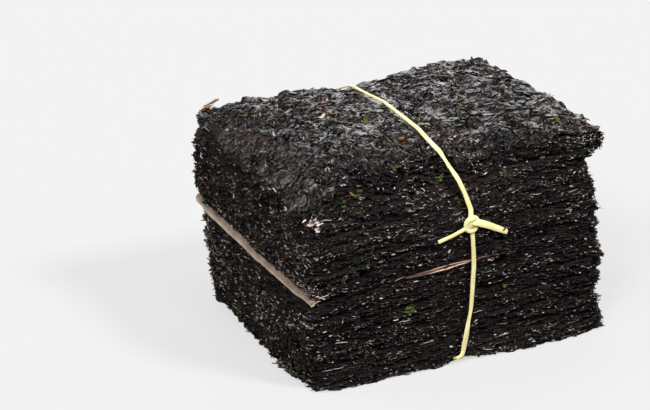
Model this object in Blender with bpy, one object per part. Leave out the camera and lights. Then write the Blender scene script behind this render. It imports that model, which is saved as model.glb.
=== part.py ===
"""A tied bundle of rough dried laver: ten packets of folded sheets, a paper slip and a straw tie.

Metres, +Z up. The long front of the bundle looks along -Y and its left end along -X. The origin
is under the middle of the bundle, on the surface that it stands on.
"""
import math

import bmesh
import bpy
from mathutils import Vector, noise
from mathutils.geometry import convex_hull_2d

# Folded sheets: about 270 x 190 mm of rough laver, each folded once across its length.
HALF_LENGTH = 0.0985
HALF_DEPTH = 0.0755
CORNER_CUT = 0.0025

# The slip's height along the front, as (x, height) points read as straight runs, and its rise to the back.
SLIP_LINE = (
    (-HALF_LENGTH, 0.0542),
    (-0.076, 0.0553),
    (-0.039, 0.0595),
    (0.006, 0.0627),
    (0.052, 0.0657),
    (HALF_LENGTH, 0.0669),
)
SLIP_RISE_AT_LEFT = 0.0104
SLIP_RISE_AT_RIGHT = 0.0040
SLIP_CURL_BACK_LEFT = 0.0034
SLIP_CURL_FROM_Y = 0.015
SLIP_CURL_TO_X = -0.040
# The highest part of the top, on a gentle slope up to the right and back.
TOP_HEIGHT = 0.1295
TOP_RISE_RIGHT = 0.0018
TOP_RISE_BACK = 0.0006

# Where the packets part, as shares of the lower pile's and of the upper pile's height.
LOWER_SHARES = (0.0, 0.18, 0.35, 0.53, 0.76, 1.0)
UPPER_SHARES = (0.0, 0.20, 0.38, 0.55, 0.73, 1.0)
PACKET_GAP = 0.0003

# The soft edges of the upper pile: how far the top sheets fall at each side, and over what width.
FRONT_FALL = 0.0190
FRONT_FALL_AT_RIGHT = 0.0060
FRONT_REACH = 0.070
LEFT_FALL = 0.0170
LEFT_FALL_AT_BACK = 0.0020
LEFT_REACH = 0.040
RIGHT_FALL = 0.0040
RIGHT_REACH = 0.022
BACK_FALL = 0.0030
BACK_REACH = 0.025
FALL_POWER = 1.5
TIE_DENT = 0.0045
TIE_DENT_WIDTH = 0.026

# The underside: flat, lifted a little round its rim and in the shallow groove where the tie passes.
RIM_LIFT = 0.0004
GROOVE_LIFT = 0.0030

# The packets' upright sides: ridges of sheet edges, uneven outlines, and edges that step in and out.
RIDGES_PER_PACKET = 4
RIDGE_DEPTH = 0.0006
NIP = 0.0007
RAG = 0.0014
RAG_SCALE = 0.021
CALM_WIDTH = 0.030
TOP_RELIEF = 0.0026
TOP_RELIEF_SCALE = 0.0110
LEVEL_WAVE = 0.0009
LEVEL_WAVE_SCALE = 0.045

# Steps in the outline, as (height, how far out) points read as straight runs between them.
LEFT_STEPS = (
    (0.0, -0.0030),
    (0.020, -0.0005),
    (0.041, 0.0010),
    (0.058, -0.0012),
    (0.086, 0.0010),
    (0.121, 0.0),
)
LEFT_BACK_TUCK = 0.0035
LEFT_TUCK_REACH = 0.030
LEFT_BACK_FLARE = 0.0042
LEFT_FLARE_HEIGHTS = (0.038, 0.082)
RIGHT_STEPS = (
    (0.0, 0.0030),
    (0.019, 0.0010),
    (0.028, -0.0050),
    (0.035, 0.0010),
    (0.045, 0.0015),
    (0.057, 0.0010),
    (0.089, -0.0025),
    (0.099, -0.0095),
    (0.107, -0.0060),
    (0.116, 0.0010),
    (0.131, 0.0),
)
FRONT_STEPS = (
    (0.0, 0.0035),
    (0.006, 0.0022),
    (0.016, 0.0),
    (0.079, 0.0),
    (0.089, -0.0025),
    (0.101, -0.0075),
    (0.113, -0.0125),
    (0.131, -0.0130),
)
FRONT_STEP_AT_RIGHT = 0.35
BACK_STEPS = ((0.0, 0.0), (0.031, 0.0010), (0.061, -0.0005), (0.091, 0.0008), (0.126, -0.0020))

# The paper slip: thick where its folds end at the left, a thin sheet on the right.
SLIP_THICK_LEFT = 0.0050
SLIP_THICK_RIGHT = 0.0010
SLIP_PROUD_LEFT = 0.0018
SLIP_BACK_FROM_FRONT = 0.0010
SLIP_BACK_FROM_REST = 0.0030

# The straw: a flattened strand, once round the bundle at mid length.
STRAW_WIDTH = 0.0032
STRAW_THICK = 0.0013
STRAW_CLEARANCE = 0.0006
STRAW_STEP = 0.009
STRAW_ARC_STEP = math.radians(24)
STRAW_SIDES = 8
KNOT_HEIGHT = 0.0848
KNOT_X = 0.0044
KNOT_SIZE = (0.0039, 0.0022, 0.0035)
KNOT_WRAP_RADIUS = 0.0034
KNOT_WRAP_STEPS = 12
KNOT_WRAP_SWELL = 0.85
# How far right of the middle the strand lies at a height on the front.
FRONT_DRIFT = (
    (0.0, -0.0020),
    (0.006, -0.0010),
    (0.012, 0.0004),
    (0.018, 0.0012),
    (0.027, 0.0034),
    (0.036, 0.0050),
    (0.050, 0.0057),
    (0.063, 0.0066),
    (0.075, 0.0059),
    (KNOT_HEIGHT, KNOT_X),
    (0.091, 0.0066),
    (0.098, 0.0054),
    (0.109, 0.0008),
    (0.119, -0.0014),
    (0.131, -0.0020),
)
# The same behind the middle, at distances back.
BACK_DRIFT = ((0.0, -0.0024), (0.035, -0.0025), (HALF_DEPTH, -0.0028))
# The free ends, from the knot outwards: steps to the right, forwards and up.
RIGHT_TAIL = (
    (0.001, -0.0010, 0.0),
    (0.007, -0.0015, -0.0004),
    (0.0150, -0.0012, -0.0042),
    (0.0246, -0.0008, -0.0090),
)
LEFT_TAIL = (
    (-0.001, -0.0010, 0.0),
    (-0.0065, -0.0012, -0.0024),
    (-0.0135, -0.0008, -0.0044),
    (-0.0222, -0.0002, -0.0070),
)
RIGHT_TAIL_SWELL = 1.35
LEFT_TAIL_SWELL = 0.75
TAIL_TILT = math.radians(90)

GRID_ALONG = 12
GRID_ACROSS = 9

LAVER = {"colour": (0.020, 0.017, 0.018, 1.0), "roughness": 0.5}
SLIP = {"colour": (0.44, 0.34, 0.24, 1.0), "roughness": 0.85}
STRAW = {"colour": (0.82, 0.72, 0.33, 1.0), "roughness": 0.6}


def clear_scene():
    for obj in list(bpy.data.objects):
        bpy.data.objects.remove(obj, do_unlink=True)


def new_collection(name):
    collection = bpy.data.collections.new(name)
    bpy.context.scene.collection.children.link(collection)
    return collection


def new_material(name, look):
    material = bpy.data.materials.new(name)
    material.use_nodes = True
    shader = material.node_tree.nodes["Principled BSDF"]
    shader.inputs["Base Color"].default_value = look["colour"]
    shader.inputs["Roughness"].default_value = look["roughness"]
    shader.inputs["Metallic"].default_value = 0.0
    return material


def new_object(name, bm, collection, material):
    mesh = bpy.data.meshes.new(name)
    bm.to_mesh(mesh)
    bm.free()
    mesh.materials.append(material)
    obj = bpy.data.objects.new(name, mesh)
    collection.objects.link(obj)
    return obj


def smooth_step(low, high, value):
    share = min(max((value - low) / (high - low), 0.0), 1.0)
    return share * share * (3.0 - 2.0 * share)


def blend(start, end, share):
    return start + (end - start) * share


def read_steps(steps, height):
    """The value at a height, on straight runs between the given points."""
    if height <= steps[0][0]:
        return steps[0][1]
    for (low, below), (high, above) in zip(steps, steps[1:]):
        if height <= high:
            return blend(below, above, (height - low) / (high - low))
    return steps[-1][1]


def edge_fall(inside, reach):
    """1 at an edge, easing to 0 at the given reach inside it."""
    return max(0.0, 1.0 - inside / reach) ** 2


def near_tie(x, width):
    return math.exp(-(((x - 0.5 * KNOT_X) / width) ** 2))


# Heights of the surfaces where the packets part. Both neighbours read the same surface.


def slip_thickness(x):
    return blend(SLIP_THICK_LEFT, SLIP_THICK_RIGHT, smooth_step(-HALF_LENGTH, 0.3 * HALF_LENGTH, x))


def slip_height(x, y):
    rise = blend(SLIP_RISE_AT_LEFT, SLIP_RISE_AT_RIGHT, smooth_step(-HALF_LENGTH, HALF_LENGTH, x))
    curl = SLIP_CURL_BACK_LEFT * smooth_step(SLIP_CURL_FROM_Y, HALF_DEPTH, y)
    curl *= 1.0 - smooth_step(-HALF_LENGTH, SLIP_CURL_TO_X, x)
    return read_steps(SLIP_LINE, x) + rise * (0.5 + 0.5 * y / HALF_DEPTH) + curl


def top_fall(x, y):
    """How far the top surface has fallen towards its edges."""
    along = smooth_step(0.0, HALF_LENGTH, x)
    back = smooth_step(0.2 * HALF_DEPTH, HALF_DEPTH, y)
    front = blend(FRONT_FALL, FRONT_FALL_AT_RIGHT, along) * edge_fall(y + HALF_DEPTH, FRONT_REACH)
    left = blend(LEFT_FALL, LEFT_FALL_AT_BACK, back) * edge_fall(x + HALF_LENGTH, LEFT_REACH)
    right = RIGHT_FALL * edge_fall(HALF_LENGTH - x, RIGHT_REACH)
    rear = BACK_FALL * edge_fall(HALF_DEPTH - y, BACK_REACH)
    dent = TIE_DENT * near_tie(x, TIE_DENT_WIDTH) * abs(y / HALF_DEPTH) ** 2
    return math.hypot(front, left) + math.hypot(right, rear) + dent


def wave(number, x, y):
    place = Vector((x / LEVEL_WAVE_SCALE, y / LEVEL_WAVE_SCALE, 3.7 * number))
    return LEVEL_WAVE * noise.noise(place)


def underside(x, y):
    rim = edge_fall(HALF_LENGTH - abs(x), 0.012) + edge_fall(HALF_DEPTH - abs(y), 0.012)
    return RIM_LIFT * min(rim, 1.0) + GROOVE_LIFT * max(0.0, 1.0 - abs(x) / (HALF_LENGTH / 6.0))


def boundary(number, x, y):
    """Surface 0 is the underside, 5 and 6 are the slip's two faces, and 11 is the top."""
    last_below = len(LOWER_SHARES) - 1
    first_above = last_below + 1
    if number == 0:
        return underside(x, y)
    if number <= last_below:
        share = LOWER_SHARES[number]
        top = slip_height(x, y) - 0.5 * slip_thickness(x)
        return share * top + (wave(number, x, y) if number < last_below else 0.0)
    share = UPPER_SHARES[number - first_above]
    bottom = slip_height(x, y) + 0.5 * slip_thickness(x)
    crest = TOP_HEIGHT + TOP_RISE_RIGHT * x / HALF_LENGTH + TOP_RISE_BACK * y / HALF_DEPTH
    height = blend(bottom, crest, share) - share**FALL_POWER * top_fall(x, y)
    return height + (wave(number, x, y) if number > first_above else 0.0)


# Outlines: how far the edge of a sheet at some height stands out of the plain rectangle.


def side_step(side, x, y, height):
    if side == "left":
        back = smooth_step(0.0, HALF_DEPTH, y)
        tuck = LEFT_BACK_TUCK * back * edge_fall(height, LEFT_TUCK_REACH)
        flare = LEFT_BACK_FLARE * back * smooth_step(*LEFT_FLARE_HEIGHTS, height)
        return read_steps(LEFT_STEPS, height) + flare - tuck
    if side == "right":
        return read_steps(RIGHT_STEPS, height)
    if side == "front":
        share = blend(1.0, FRONT_STEP_AT_RIGHT, smooth_step(0.02, HALF_LENGTH, x))
        return share * read_steps(FRONT_STEPS, height)
    return read_steps(BACK_STEPS, height)


def ragged(x, y, height):
    """Uneven edge of the sheets, calmer where the tie holds them."""
    place = Vector((x, y, 2.4 * height)) / RAG_SCALE
    return RAG * noise.noise(place) * (1.0 - 0.85 * near_tie(x, CALM_WIDTH))


def ridge(level, levels, x, y, rests):
    """Ridges of sheet edges up a packet's side: out at odd levels, in at even ones."""
    if level == 0 and rests:
        return 0.0
    if level in (0, levels):
        return -RIDGE_DEPTH - NIP
    place = Vector((x, y, 0.05 * level)) / (1.6 * RAG_SCALE)
    depth = RIDGE_DEPTH * (1.0 + 0.6 * noise.noise(place)) * (1.0 - 0.4 * near_tie(x, CALM_WIDTH))
    return depth if level % 2 else -depth


def slab(name, levels, place_vertex, collection, material):
    """A closed slab over a grid. Each vertex is placed from its grid position and its level."""
    bm = bmesh.new()
    bmesh.ops.create_grid(bm, x_segments=GRID_ALONG, y_segments=GRID_ACROSS, size=1.0)
    bmesh.ops.triangulate(bm, faces=bm.faces[:], quad_method="FIXED")
    raised = bmesh.ops.extrude_face_region(bm, geom=bm.faces[:])["geom"]
    lifted = [item for item in raised if isinstance(item, bmesh.types.BMVert)]
    bmesh.ops.translate(bm, verts=lifted, vec=(0.0, 0.0, float(levels)))
    upright = [edge for edge in bm.edges if abs(edge.verts[0].co.z - edge.verts[1].co.z) > 0.5]
    bmesh.ops.subdivide_edges(bm, edges=upright, cuts=levels - 1)
    place_vertex(bm)
    bmesh.ops.recalc_face_normals(bm, faces=bm.faces[:])
    return new_object(name, bm, collection, material)


def outline_point(along, across, height, out):
    """The point on a sheet's outline, or inside it, for a grid position from -1 to 1 each way."""
    x = along * HALF_LENGTH
    y = across * HALF_DEPTH
    cut = CORNER_CUT if abs(along) > 0.999 and abs(across) > 0.999 else 0.0
    if along < -0.999:
        x -= out("left", x, y, height) - cut
    if along > 0.999:
        x += out("right", x, y, height) - cut
    if across < -0.999:
        y -= out("front", x, y, height) - cut
    if across > 0.999:
        y += out("back", x, y, height) - cut
    return x, y


def make_packet(number, surface, collection, material, top_packet):
    """One packet of ten folded sheets, between the given surface and the next."""
    levels = 2 * RIDGES_PER_PACKET
    rests = surface == 0

    def out_at(level):
        def out(side, x, y, height):
            return side_step(side, x, y, height) + ragged(x, y, height) + ridge(level, levels, x, y, rests)

        return out

    def rim_height(edge_surface, along, across, level, half_gap):
        middle = boundary(edge_surface, along * HALF_LENGTH, across * HALF_DEPTH)
        x, y = outline_point(along, across, middle, out_at(level))
        return boundary(edge_surface, x, y) + half_gap

    def place_vertices(bm):
        if top_packet:
            cap = [edge for edge in bm.edges if min(v.co.z for v in edge.verts) > levels - 0.5]
            bmesh.ops.subdivide_edges(bm, edges=cap, cuts=1, use_grid_fill=True)
        for vertex in bm.verts:
            along, across, level = vertex.co.x, vertex.co.y, round(vertex.co.z)
            low = rim_height(surface, along, across, 0, 0.0 if rests else 0.5 * PACKET_GAP)
            high = rim_height(surface + 1, along, across, levels, -0.5 * PACKET_GAP)
            height = blend(low, high, level / levels)
            x, y = outline_point(along, across, height, out_at(level))
            if top_packet and level == levels:
                height += TOP_RELIEF * noise.noise(Vector((x, y, 0.0)) / TOP_RELIEF_SCALE)
            vertex.co = (x, y, height)

    return slab(f"packet_{number:02d}", levels, place_vertices, collection, material)


def make_slip(surface, collection, material):
    """The folded paper slip between the two piles."""

    def out(side, x, y, height):
        reach = {"left": SLIP_PROUD_LEFT, "front": -SLIP_BACK_FROM_FRONT}.get(side, -SLIP_BACK_FROM_REST)
        return side_step(side, x, y, height) + reach - RIDGE_DEPTH

    def place_vertices(bm):
        for vertex in bm.verts:
            along, across, level = vertex.co.x, vertex.co.y, round(vertex.co.z)
            middle = slip_height(along * HALF_LENGTH, across * HALF_DEPTH)
            x, y = outline_point(along, across, middle, out)
            low = boundary(surface, x, y) + 0.5 * PACKET_GAP
            high = boundary(surface + 1, x, y) - 0.5 * PACKET_GAP
            vertex.co = (x, y, blend(low, high, level))

    return slab("paper_slip", 1, place_vertices, collection, material)


# The straw tie: a loop pulled tight round the bundle, a knot on the front and two cut ends.


def tight_loop(packets):
    """The path of the strand's middle, as (y, z) points round the bundle's section at mid length."""
    section = []
    for packet in packets:
        for vertex in packet.data.vertices:
            if abs(vertex.co.x) < 1e-5:
                section.append(Vector((vertex.co.y, vertex.co.z)))
    corners = [section[index] for index in convex_hull_2d(section)]
    stand_off = STRAW_CLEARANCE + 0.5 * STRAW_THICK
    path = []
    for before, corner, after in zip(corners[-1:] + corners[:-1], corners, corners[1:] + corners[:1]):
        start = math.atan2(before.x - corner.x, corner.y - before.y)
        turn = math.atan2(corner.x - after.x, after.y - corner.y) - start
        turn = (turn + math.pi) % (2.0 * math.pi) - math.pi
        steps = max(1, math.ceil(abs(turn) / STRAW_ARC_STEP))
        for step in range(steps + 1):
            angle = start + turn * step / steps
            path.append(corner + stand_off * Vector((math.cos(angle), math.sin(angle))))
    return even_path(path)


def even_path(path):
    """The same closed path with its short steps merged and its long ones split."""
    merged = [path[0]]
    for point in path[1:]:
        if (point - merged[-1]).length > 0.0006:
            merged.append(point)
    even = []
    for start, end in zip(merged, merged[1:] + merged[:1]):
        pieces = max(1, round((end - start).length / STRAW_STEP))
        even += [start.lerp(end, piece / pieces) for piece in range(pieces)]
    return even


def strand_x(y, z):
    """How far right the strand lies: drifting on the front, near the middle on the other sides."""
    front = 1.0 - smooth_step(-HALF_DEPTH, 0.0, y)
    return blend(read_steps(BACK_DRIFT, y), read_steps(FRONT_DRIFT, z), front)


def straw_profile():
    """The strand's flattened section, as a curve that sweeps along each path."""
    curve = bpy.data.curves.new("straw_section", "CURVE")
    curve.dimensions = "2D"
    spline = curve.splines.new("POLY")
    spline.points.add(STRAW_SIDES - 1)
    for index, point in enumerate(spline.points):
        angle = 2.0 * math.pi * (index + 0.5) / STRAW_SIDES
        point.co = (0.5 * STRAW_WIDTH * math.cos(angle), 0.5 * STRAW_THICK * math.sin(angle), 0.0, 1.0)
    spline.use_cyclic_u = True
    profile = bpy.data.objects.new("straw_section", curve)
    profile.hide_render = True
    profile.display_type = "WIRE"
    return profile


def strand(name, points, profile, collection, closed, swell=1.0, tilt=0.0):
    """A flattened strand along the points, as a closed mesh."""
    curve = bpy.data.curves.new(name, "CURVE")
    curve.dimensions = "3D"
    curve.twist_mode = "MINIMUM"
    curve.bevel_mode = "OBJECT"
    curve.bevel_object = profile
    curve.use_fill_caps = True
    spline = curve.splines.new("POLY")
    spline.points.add(len(points) - 1)
    for point, place in zip(spline.points, points):
        point.co = (*place, 1.0)
        point.radius = swell
        point.tilt = tilt
    spline.use_cyclic_u = closed
    swept = bpy.data.objects.new(name + "_path", curve)
    collection.objects.link(swept)
    bpy.context.view_layer.update()
    mesh = bpy.data.meshes.new_from_object(swept.evaluated_get(bpy.context.evaluated_depsgraph_get()))
    bpy.data.objects.remove(swept, do_unlink=True)
    bm = bmesh.new()
    bm.from_mesh(mesh)
    bmesh.ops.remove_doubles(bm, verts=bm.verts[:], dist=1e-6)
    bmesh.ops.recalc_face_normals(bm, faces=bm.faces[:])
    bm.to_mesh(mesh)
    bm.free()
    obj = bpy.data.objects.new(name, mesh)
    collection.objects.link(obj)
    return obj


def knot_body(middle, helpers):
    """The pulled-up middle of the knot."""
    bm = bmesh.new()
    bmesh.ops.create_uvsphere(bm, u_segments=12, v_segments=8, radius=1.0)
    bmesh.ops.scale(bm, vec=KNOT_SIZE, verts=bm.verts[:])
    bmesh.ops.translate(bm, vec=middle, verts=bm.verts[:])
    mesh = bpy.data.meshes.new("knot_body")
    bm.to_mesh(mesh)
    bm.free()
    obj = bpy.data.objects.new("knot_body", mesh)
    helpers.objects.link(obj)
    return obj


def knot_wrap(middle, profile, helpers):
    """The turn of straw round the knot, as a closed ring that faces forwards."""
    ring = []
    for step in range(KNOT_WRAP_STEPS):
        angle = 2.0 * math.pi * step / KNOT_WRAP_STEPS
        side = KNOT_WRAP_RADIUS * math.cos(angle)
        ring.append(middle + Vector((side, -0.0005, 0.85 * KNOT_WRAP_RADIUS * math.sin(angle))))
    strand("knot_wrap", ring, profile, helpers, closed=True, swell=KNOT_WRAP_SWELL)


def make_tie(packets, collection, helpers, material):
    profile = straw_profile()
    helpers.objects.link(profile)
    loop = [(strand_x(y, z), y, z) for y, z in tight_loop(packets)]
    tie = strand("straw_tie", loop, profile, collection, closed=True)
    at_knot = min(loop, key=lambda place: abs(place[2] - KNOT_HEIGHT) + (place[1] > 0.0))
    middle = Vector((KNOT_X, at_knot[1] - KNOT_SIZE[1] + 0.5 * STRAW_THICK, KNOT_HEIGHT))
    knot_body(middle, helpers)
    knot_wrap(middle, profile, helpers)
    for name, steps, swell in (
        ("right_tail", RIGHT_TAIL, RIGHT_TAIL_SWELL),
        ("left_tail", LEFT_TAIL, LEFT_TAIL_SWELL),
    ):
        points = [middle + Vector(step) for step in steps]
        strand(name, points, profile, helpers, closed=False, swell=swell, tilt=TAIL_TILT)
    bpy.data.objects.remove(profile, do_unlink=True)
    join = tie.modifiers.new("knot", "BOOLEAN")
    join.operation = "UNION"
    join.operand_type = "COLLECTION"
    join.collection = helpers
    bpy.context.view_layer.update()
    fused = bpy.data.meshes.new_from_object(tie.evaluated_get(bpy.context.evaluated_depsgraph_get()))
    tie.modifiers.clear()
    tie.data = fused
    fused.materials.clear()
    fused.materials.append(material)
    for helper in list(helpers.objects):
        bpy.data.objects.remove(helper, do_unlink=True)
    bpy.data.collections.remove(helpers)
    return tie


def stand_on_origin(objects):
    """Moves the bundle so that the origin is under the middle of its box, at its lowest height."""
    corners = [obj.matrix_world @ vertex.co for obj in objects for vertex in obj.data.vertices]
    low = Vector(min(corner[axis] for corner in corners) for axis in range(3))
    high = Vector(max(corner[axis] for corner in corners) for axis in range(3))
    middle = (low + high) / 2.0
    for obj in objects:
        obj.location = (-middle.x, -middle.y, -low.z)


def main():
    clear_scene()
    bundle = new_collection("laver_bundle")
    helpers = new_collection("tie_helpers")
    laver = new_material("laver", LAVER)
    slip_paper = new_material("slip_paper", SLIP)
    straw = new_material("straw", STRAW)
    lower_packets = len(LOWER_SHARES) - 1
    packets = []
    for index in range(lower_packets + len(UPPER_SHARES) - 1):
        surface = index if index < lower_packets else index + 1
        top_packet = index == 2 * lower_packets - 1
        packets.append(make_packet(index + 1, surface, bundle, laver, top_packet))
    slip = make_slip(lower_packets, bundle, slip_paper)
    tie = make_tie(packets, bundle, helpers, straw)
    stand_on_origin(packets + [slip, tie])


main()
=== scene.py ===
"""Looks of a tied bundle of rough dried laver sheets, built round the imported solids.

Each packet is shown as sixteen ragged plies round a core. The top and the underside are whole crinkled
sheets, torn flakes and threads lie on the matted sides, and the slip and the straw are made in full.
"""
import math

import bmesh
import bpy
import numpy as np
from mathutils import Matrix, Vector
from mathutils.bvhtree import BVHTree

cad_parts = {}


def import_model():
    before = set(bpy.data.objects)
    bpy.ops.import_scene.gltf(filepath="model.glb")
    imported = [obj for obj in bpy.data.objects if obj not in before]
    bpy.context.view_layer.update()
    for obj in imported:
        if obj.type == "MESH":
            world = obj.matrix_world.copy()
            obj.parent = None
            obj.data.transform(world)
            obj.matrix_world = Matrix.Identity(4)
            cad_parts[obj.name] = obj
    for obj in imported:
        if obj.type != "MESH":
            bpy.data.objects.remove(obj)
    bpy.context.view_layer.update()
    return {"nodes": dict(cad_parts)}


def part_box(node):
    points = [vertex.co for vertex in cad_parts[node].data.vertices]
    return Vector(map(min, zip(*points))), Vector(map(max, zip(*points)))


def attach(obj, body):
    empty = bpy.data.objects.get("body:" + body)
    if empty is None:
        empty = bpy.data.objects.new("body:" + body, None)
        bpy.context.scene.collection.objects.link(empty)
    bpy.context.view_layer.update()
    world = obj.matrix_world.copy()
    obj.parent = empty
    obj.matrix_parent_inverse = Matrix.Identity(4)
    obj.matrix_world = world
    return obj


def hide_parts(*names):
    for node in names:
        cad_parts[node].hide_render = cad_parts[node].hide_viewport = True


MM = 0.001

# Camera: fitted to the photograph's vanishing points, for a 650 x 410 picture.
PICTURE = (650, 410)
FOCAL_PIXELS = 2400.0
SENSOR_WIDTH = 36.0
CAMERA_AZIMUTH = math.radians(-27.058)
CAMERA_ELEVATION = math.radians(21.689)
CAMERA_DISTANCE = 1.42389
CAMERA_TARGET = Vector((-0.04964, 0.00091, 0.0804))

# Reading the solids: how finely, and what counts as a level face or as a side.
GRID_LINES = (57, 43)
OUTLINE_RADIUS = 10.0 * MM
OUTLINE_INSET = 2.5 * MM
RAY_REACH = 30.0 * MM
LEVEL_ENOUGH = 0.93
TOP_LEVEL_ENOUGH = 0.80
SLOPE_MOST = 0.5
SIDE_SHARES = (0.15, 0.25, 0.35, 0.45, 0.55, 0.65, 0.75, 0.85)
SIDE_SKIP = 4
SIDE_MOST = 14.0 * MM
SIDE_LEAN = 1.2 * MM
MEETING_GAP = 0.6 * MM

# Plies: how many to a packet, their pitch and half their thickness, and the layer that the slip lies at.
# Their bands run this deep into the pile, the core starts a little less deep, and no ply goes lower.
PLIES = 16
PLY_STEP = 0.84 * MM
PLY_HALF_THICK = 0.14 * MM
SLIP_PACKET = 5
SLIP_LAYER = SLIP_PACKET * PLIES - 0.5
BAND_DEPTH = 30.0 * MM
CORE_DEPTH = 28.0 * MM
LOWEST = 0.02 * MM

# Where the sheets above and below the slip meet, in millimetres inside the rim: from here to there.
MEET_FROM = 14.0
MEET_TO = 5.0

# Where the straw holds the sheets: its place along the bundle, and how wide it keeps them calm.
STRAW_X = 2.0 * MM
CALM_WIDTH = 15.0 * MM

# Whole sheets: the layer that their rims are read from, the seeds of their relief, their faces along and
# across, how thick they are, and how close to the rim its raggedness keeps.
SHEET_LAYER = 300
TOP_SEED = 41
UNDER_SEED = 61
TOP_GRID = (240, 190)
UNDER_GRID = (75, 58)
TOP_THICK = 0.5 * MM
UNDER_THICK = 0.4 * MM
RIM_POWER = 36

# How much of the top packet's height its middle fills, to leave room for the hollows of the top sheet.
TOP_FILL = 0.15

# How far the top packet's last sheet stops short of the front, in millimetres, by distance along it.
STEP_BACK = (
    (-98.0, 4.0), (-80.0, 9.0), (-60.0, 12.0), (-30.0, 13.0),
    (5.0, 12.0), (40.0, 7.0), (75.0, 3.0), (98.0, 1.0),
)

# How far the sheets stand out or in, in millimetres, by height: at the front end of the right side, and
# at the back end of the left side. What draws in there is carried round the corner by this share.
RIGHT_EDGE = (
    (0.0, 3.0), (6.0, 2.0), (12.0, 1.4), (19.0, 0.0), (26.0, 2.0), (32.0, 4.6), (38.0, 2.2), (50.0, 1.6),
    (58.0, -1.4), (72.0, -2.0), (86.0, -1.6), (95.0, 0.2), (101.0, -4.6), (106.0, -9.4), (110.0, -5.0),
    (115.0, 1.4), (125.0, 1.2),
)
LEFT_EDGE = (
    (0.0, -4.4), (7.0, -3.4), (15.0, -2.6), (40.0, -2.2), (56.0, -0.5), (90.0, 0.0), (110.0, 0.6),
    (120.0, 0.4),
)
ROUND_CORNER = 0.9

# The four sides: the way each faces, and the axis that runs along it.
SIDES = (
    ("right", (1.0, 0.0), 1),
    ("left", (-1.0, 0.0), 1),
    ("back", (0.0, 1.0), 0),
    ("front", (0.0, -1.0), 0),
)

# How squarely a place on the rims has to face a side: on its straight run, and for each kind of torn bit.
STRAIGHT = 0.999
STRIP_FACING = 0.9
SCRAP_FACING = 0.8
SHRED_FACING = 0.72

# How many torn bits: patches and shreds on the top, scraps at the steps, shreds and threads on the right,
# the left, the back and the front, and strips along the rims. Pale bits, most of them painted glints, are
# shorter and narrower.
TOP_PATCHES = 1000
TOP_SHREDS = 1300
STEP_SCRAPS = 1900
SHREDS = (8500, 11500, 7000, 12000)
THREADS = (850, 750, 300, 450)
STRIPS = 200
STRIP_STATIONS = 11
TORN_SECTORS = 24
PALE_SIZE = (0.65, 0.48)

# How low torn bits may reach, how thick they are, and how far from the straw they keep.
FLAKE_LOWEST = 0.05 * MM
FILM_THICK = 0.05 * MM
THREAD_THICK = 0.08 * MM
MATTED_THICK = 0.10 * MM
TOP_GAP = 3.2 * MM
SIDE_GAP = 2.6 * MM
THREAD_GAP = 4.0 * MM

# The straw. KNOT_PLACE is the knot's middle seen from the front, in x and height, KNOT_SIZE is half its
# size in millimetres, and LOW_END is the height where the small strands at the straw's foot start.
STRAND_SIDES = 14
STRAND_STATIONS = 520
STRAW_THICK = 1.15 * MM
KNOT_PLACE = (5.9 * MM, 85.4 * MM)
KNOT_SIZE = (4.2, 2.2, 3.9)
LOW_END = 5.0 * MM

# Reading the straw: degrees between rays, places across it in millimetres, how far out a ray starts and
# how far it goes in metres, the widest that a plain strand shows, and how deep its middle lies.
SCAN_TURN = 1.5
SCAN_PLACES = (-8.0, 16.0, 0.4)
SCAN_START = 0.15
SCAN_REACH = 0.12
PLAIN_WIDTH = 4.2 * MM
MIDDLE_DEPTH = 0.3 * STRAW_THICK

# Colours: laver, darkest and lightest, what it turns to in places (its orange-brown also paints the glow of
# light shining through thin threads, and its pale serves a few pale bits and painted glints), and the tint of
# its shine.
LAVER = ((0.0012, 0.0009, 0.0012), (0.0045, 0.0030, 0.0032))
BROWN = (0.030, 0.0125, 0.0090)
MOSS = (0.014, 0.021, 0.006)
GREEN = (0.060, 0.095, 0.016)
RUST_AND_GLOW = (0.34, 0.14, 0.035)
PALE_BITS_AND_GLINTS = (0.84, 0.71, 0.66)
GLOSS = (1.0, 0.94, 0.91, 1.0)

# How the laver's edges, its whole films and its scraps look.
EDGE_LOOKS = {"rough": 0.48, "specular": 0.25, "brownness": 0.25, "thread_scale": 330.0, "relief": 0.8 * MM}
FILM_LOOKS = {"rough": 0.14, "specular": 0.5, "brownness": 0.6, "thread_scale": 190.0, "relief": 0.3 * MM}
SCRAP_LOOKS = {"rough": 0.10, "specular": 0.5, "brownness": 0.6, "thread_scale": 330.0, "relief": 0.4 * MM}

# Colours: paper, dull and warm, its front edge and the painted shade between that edge's lips, its smudges,
# and straw, plain, and brown at the hook's tip and as painted shade on the knot's body behind the ring's eye.
DULL_PAPER = ((0.17, 0.125, 0.10), (0.27, 0.20, 0.15))
WARM_PAPER = ((0.50, 0.38, 0.25), (0.70, 0.56, 0.38))
PAPER_EDGE_AND_SHADE = ((0.68, 0.46, 0.35), (0.120, 0.055, 0.034))
SMUDGE = (0.20, 0.12, 0.08)
STRAW = ((0.80, 0.70, 0.30), (0.86, 0.79, 0.44))
BROWN_STRAW_AND_SHADE = (0.46, 0.24, 0.05)

# The stage: how strong the even light is, how bright the camera sees the floor, and half the floor's size.
WORLD_LIGHT = 0.07
FLOOR_GLOW = 0.615
FLOOR_SIZE = 4.0

# The first seed of the torn bits, and the way up.
SEED = 20
UP = np.array((0.0, 0.0, 1.0))


# Small helpers.


def eased(low, high, value):
    """0 up to low, 1 from high, and an even turn between them."""
    share = np.clip((value - low) / (high - low), 0.0, 1.0)
    return share * share * (3.0 - 2.0 * share)


def softened(points, times, closed):
    """The row of points with its corners eased."""
    for _ in range(times):
        if closed:
            before, after = np.roll(points, 1, axis=0), np.roll(points, -1, axis=0)
        else:
            before, after = np.vstack((points[:1], points[:-1])), np.vstack((points[1:], points[-1:]))
        points = 0.25 * before + 0.5 * points + 0.25 * after
    return points


def read_off(table, value):
    """A table of pairs read off at a value, even between them."""
    return np.interp(value, *zip(*table))


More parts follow.
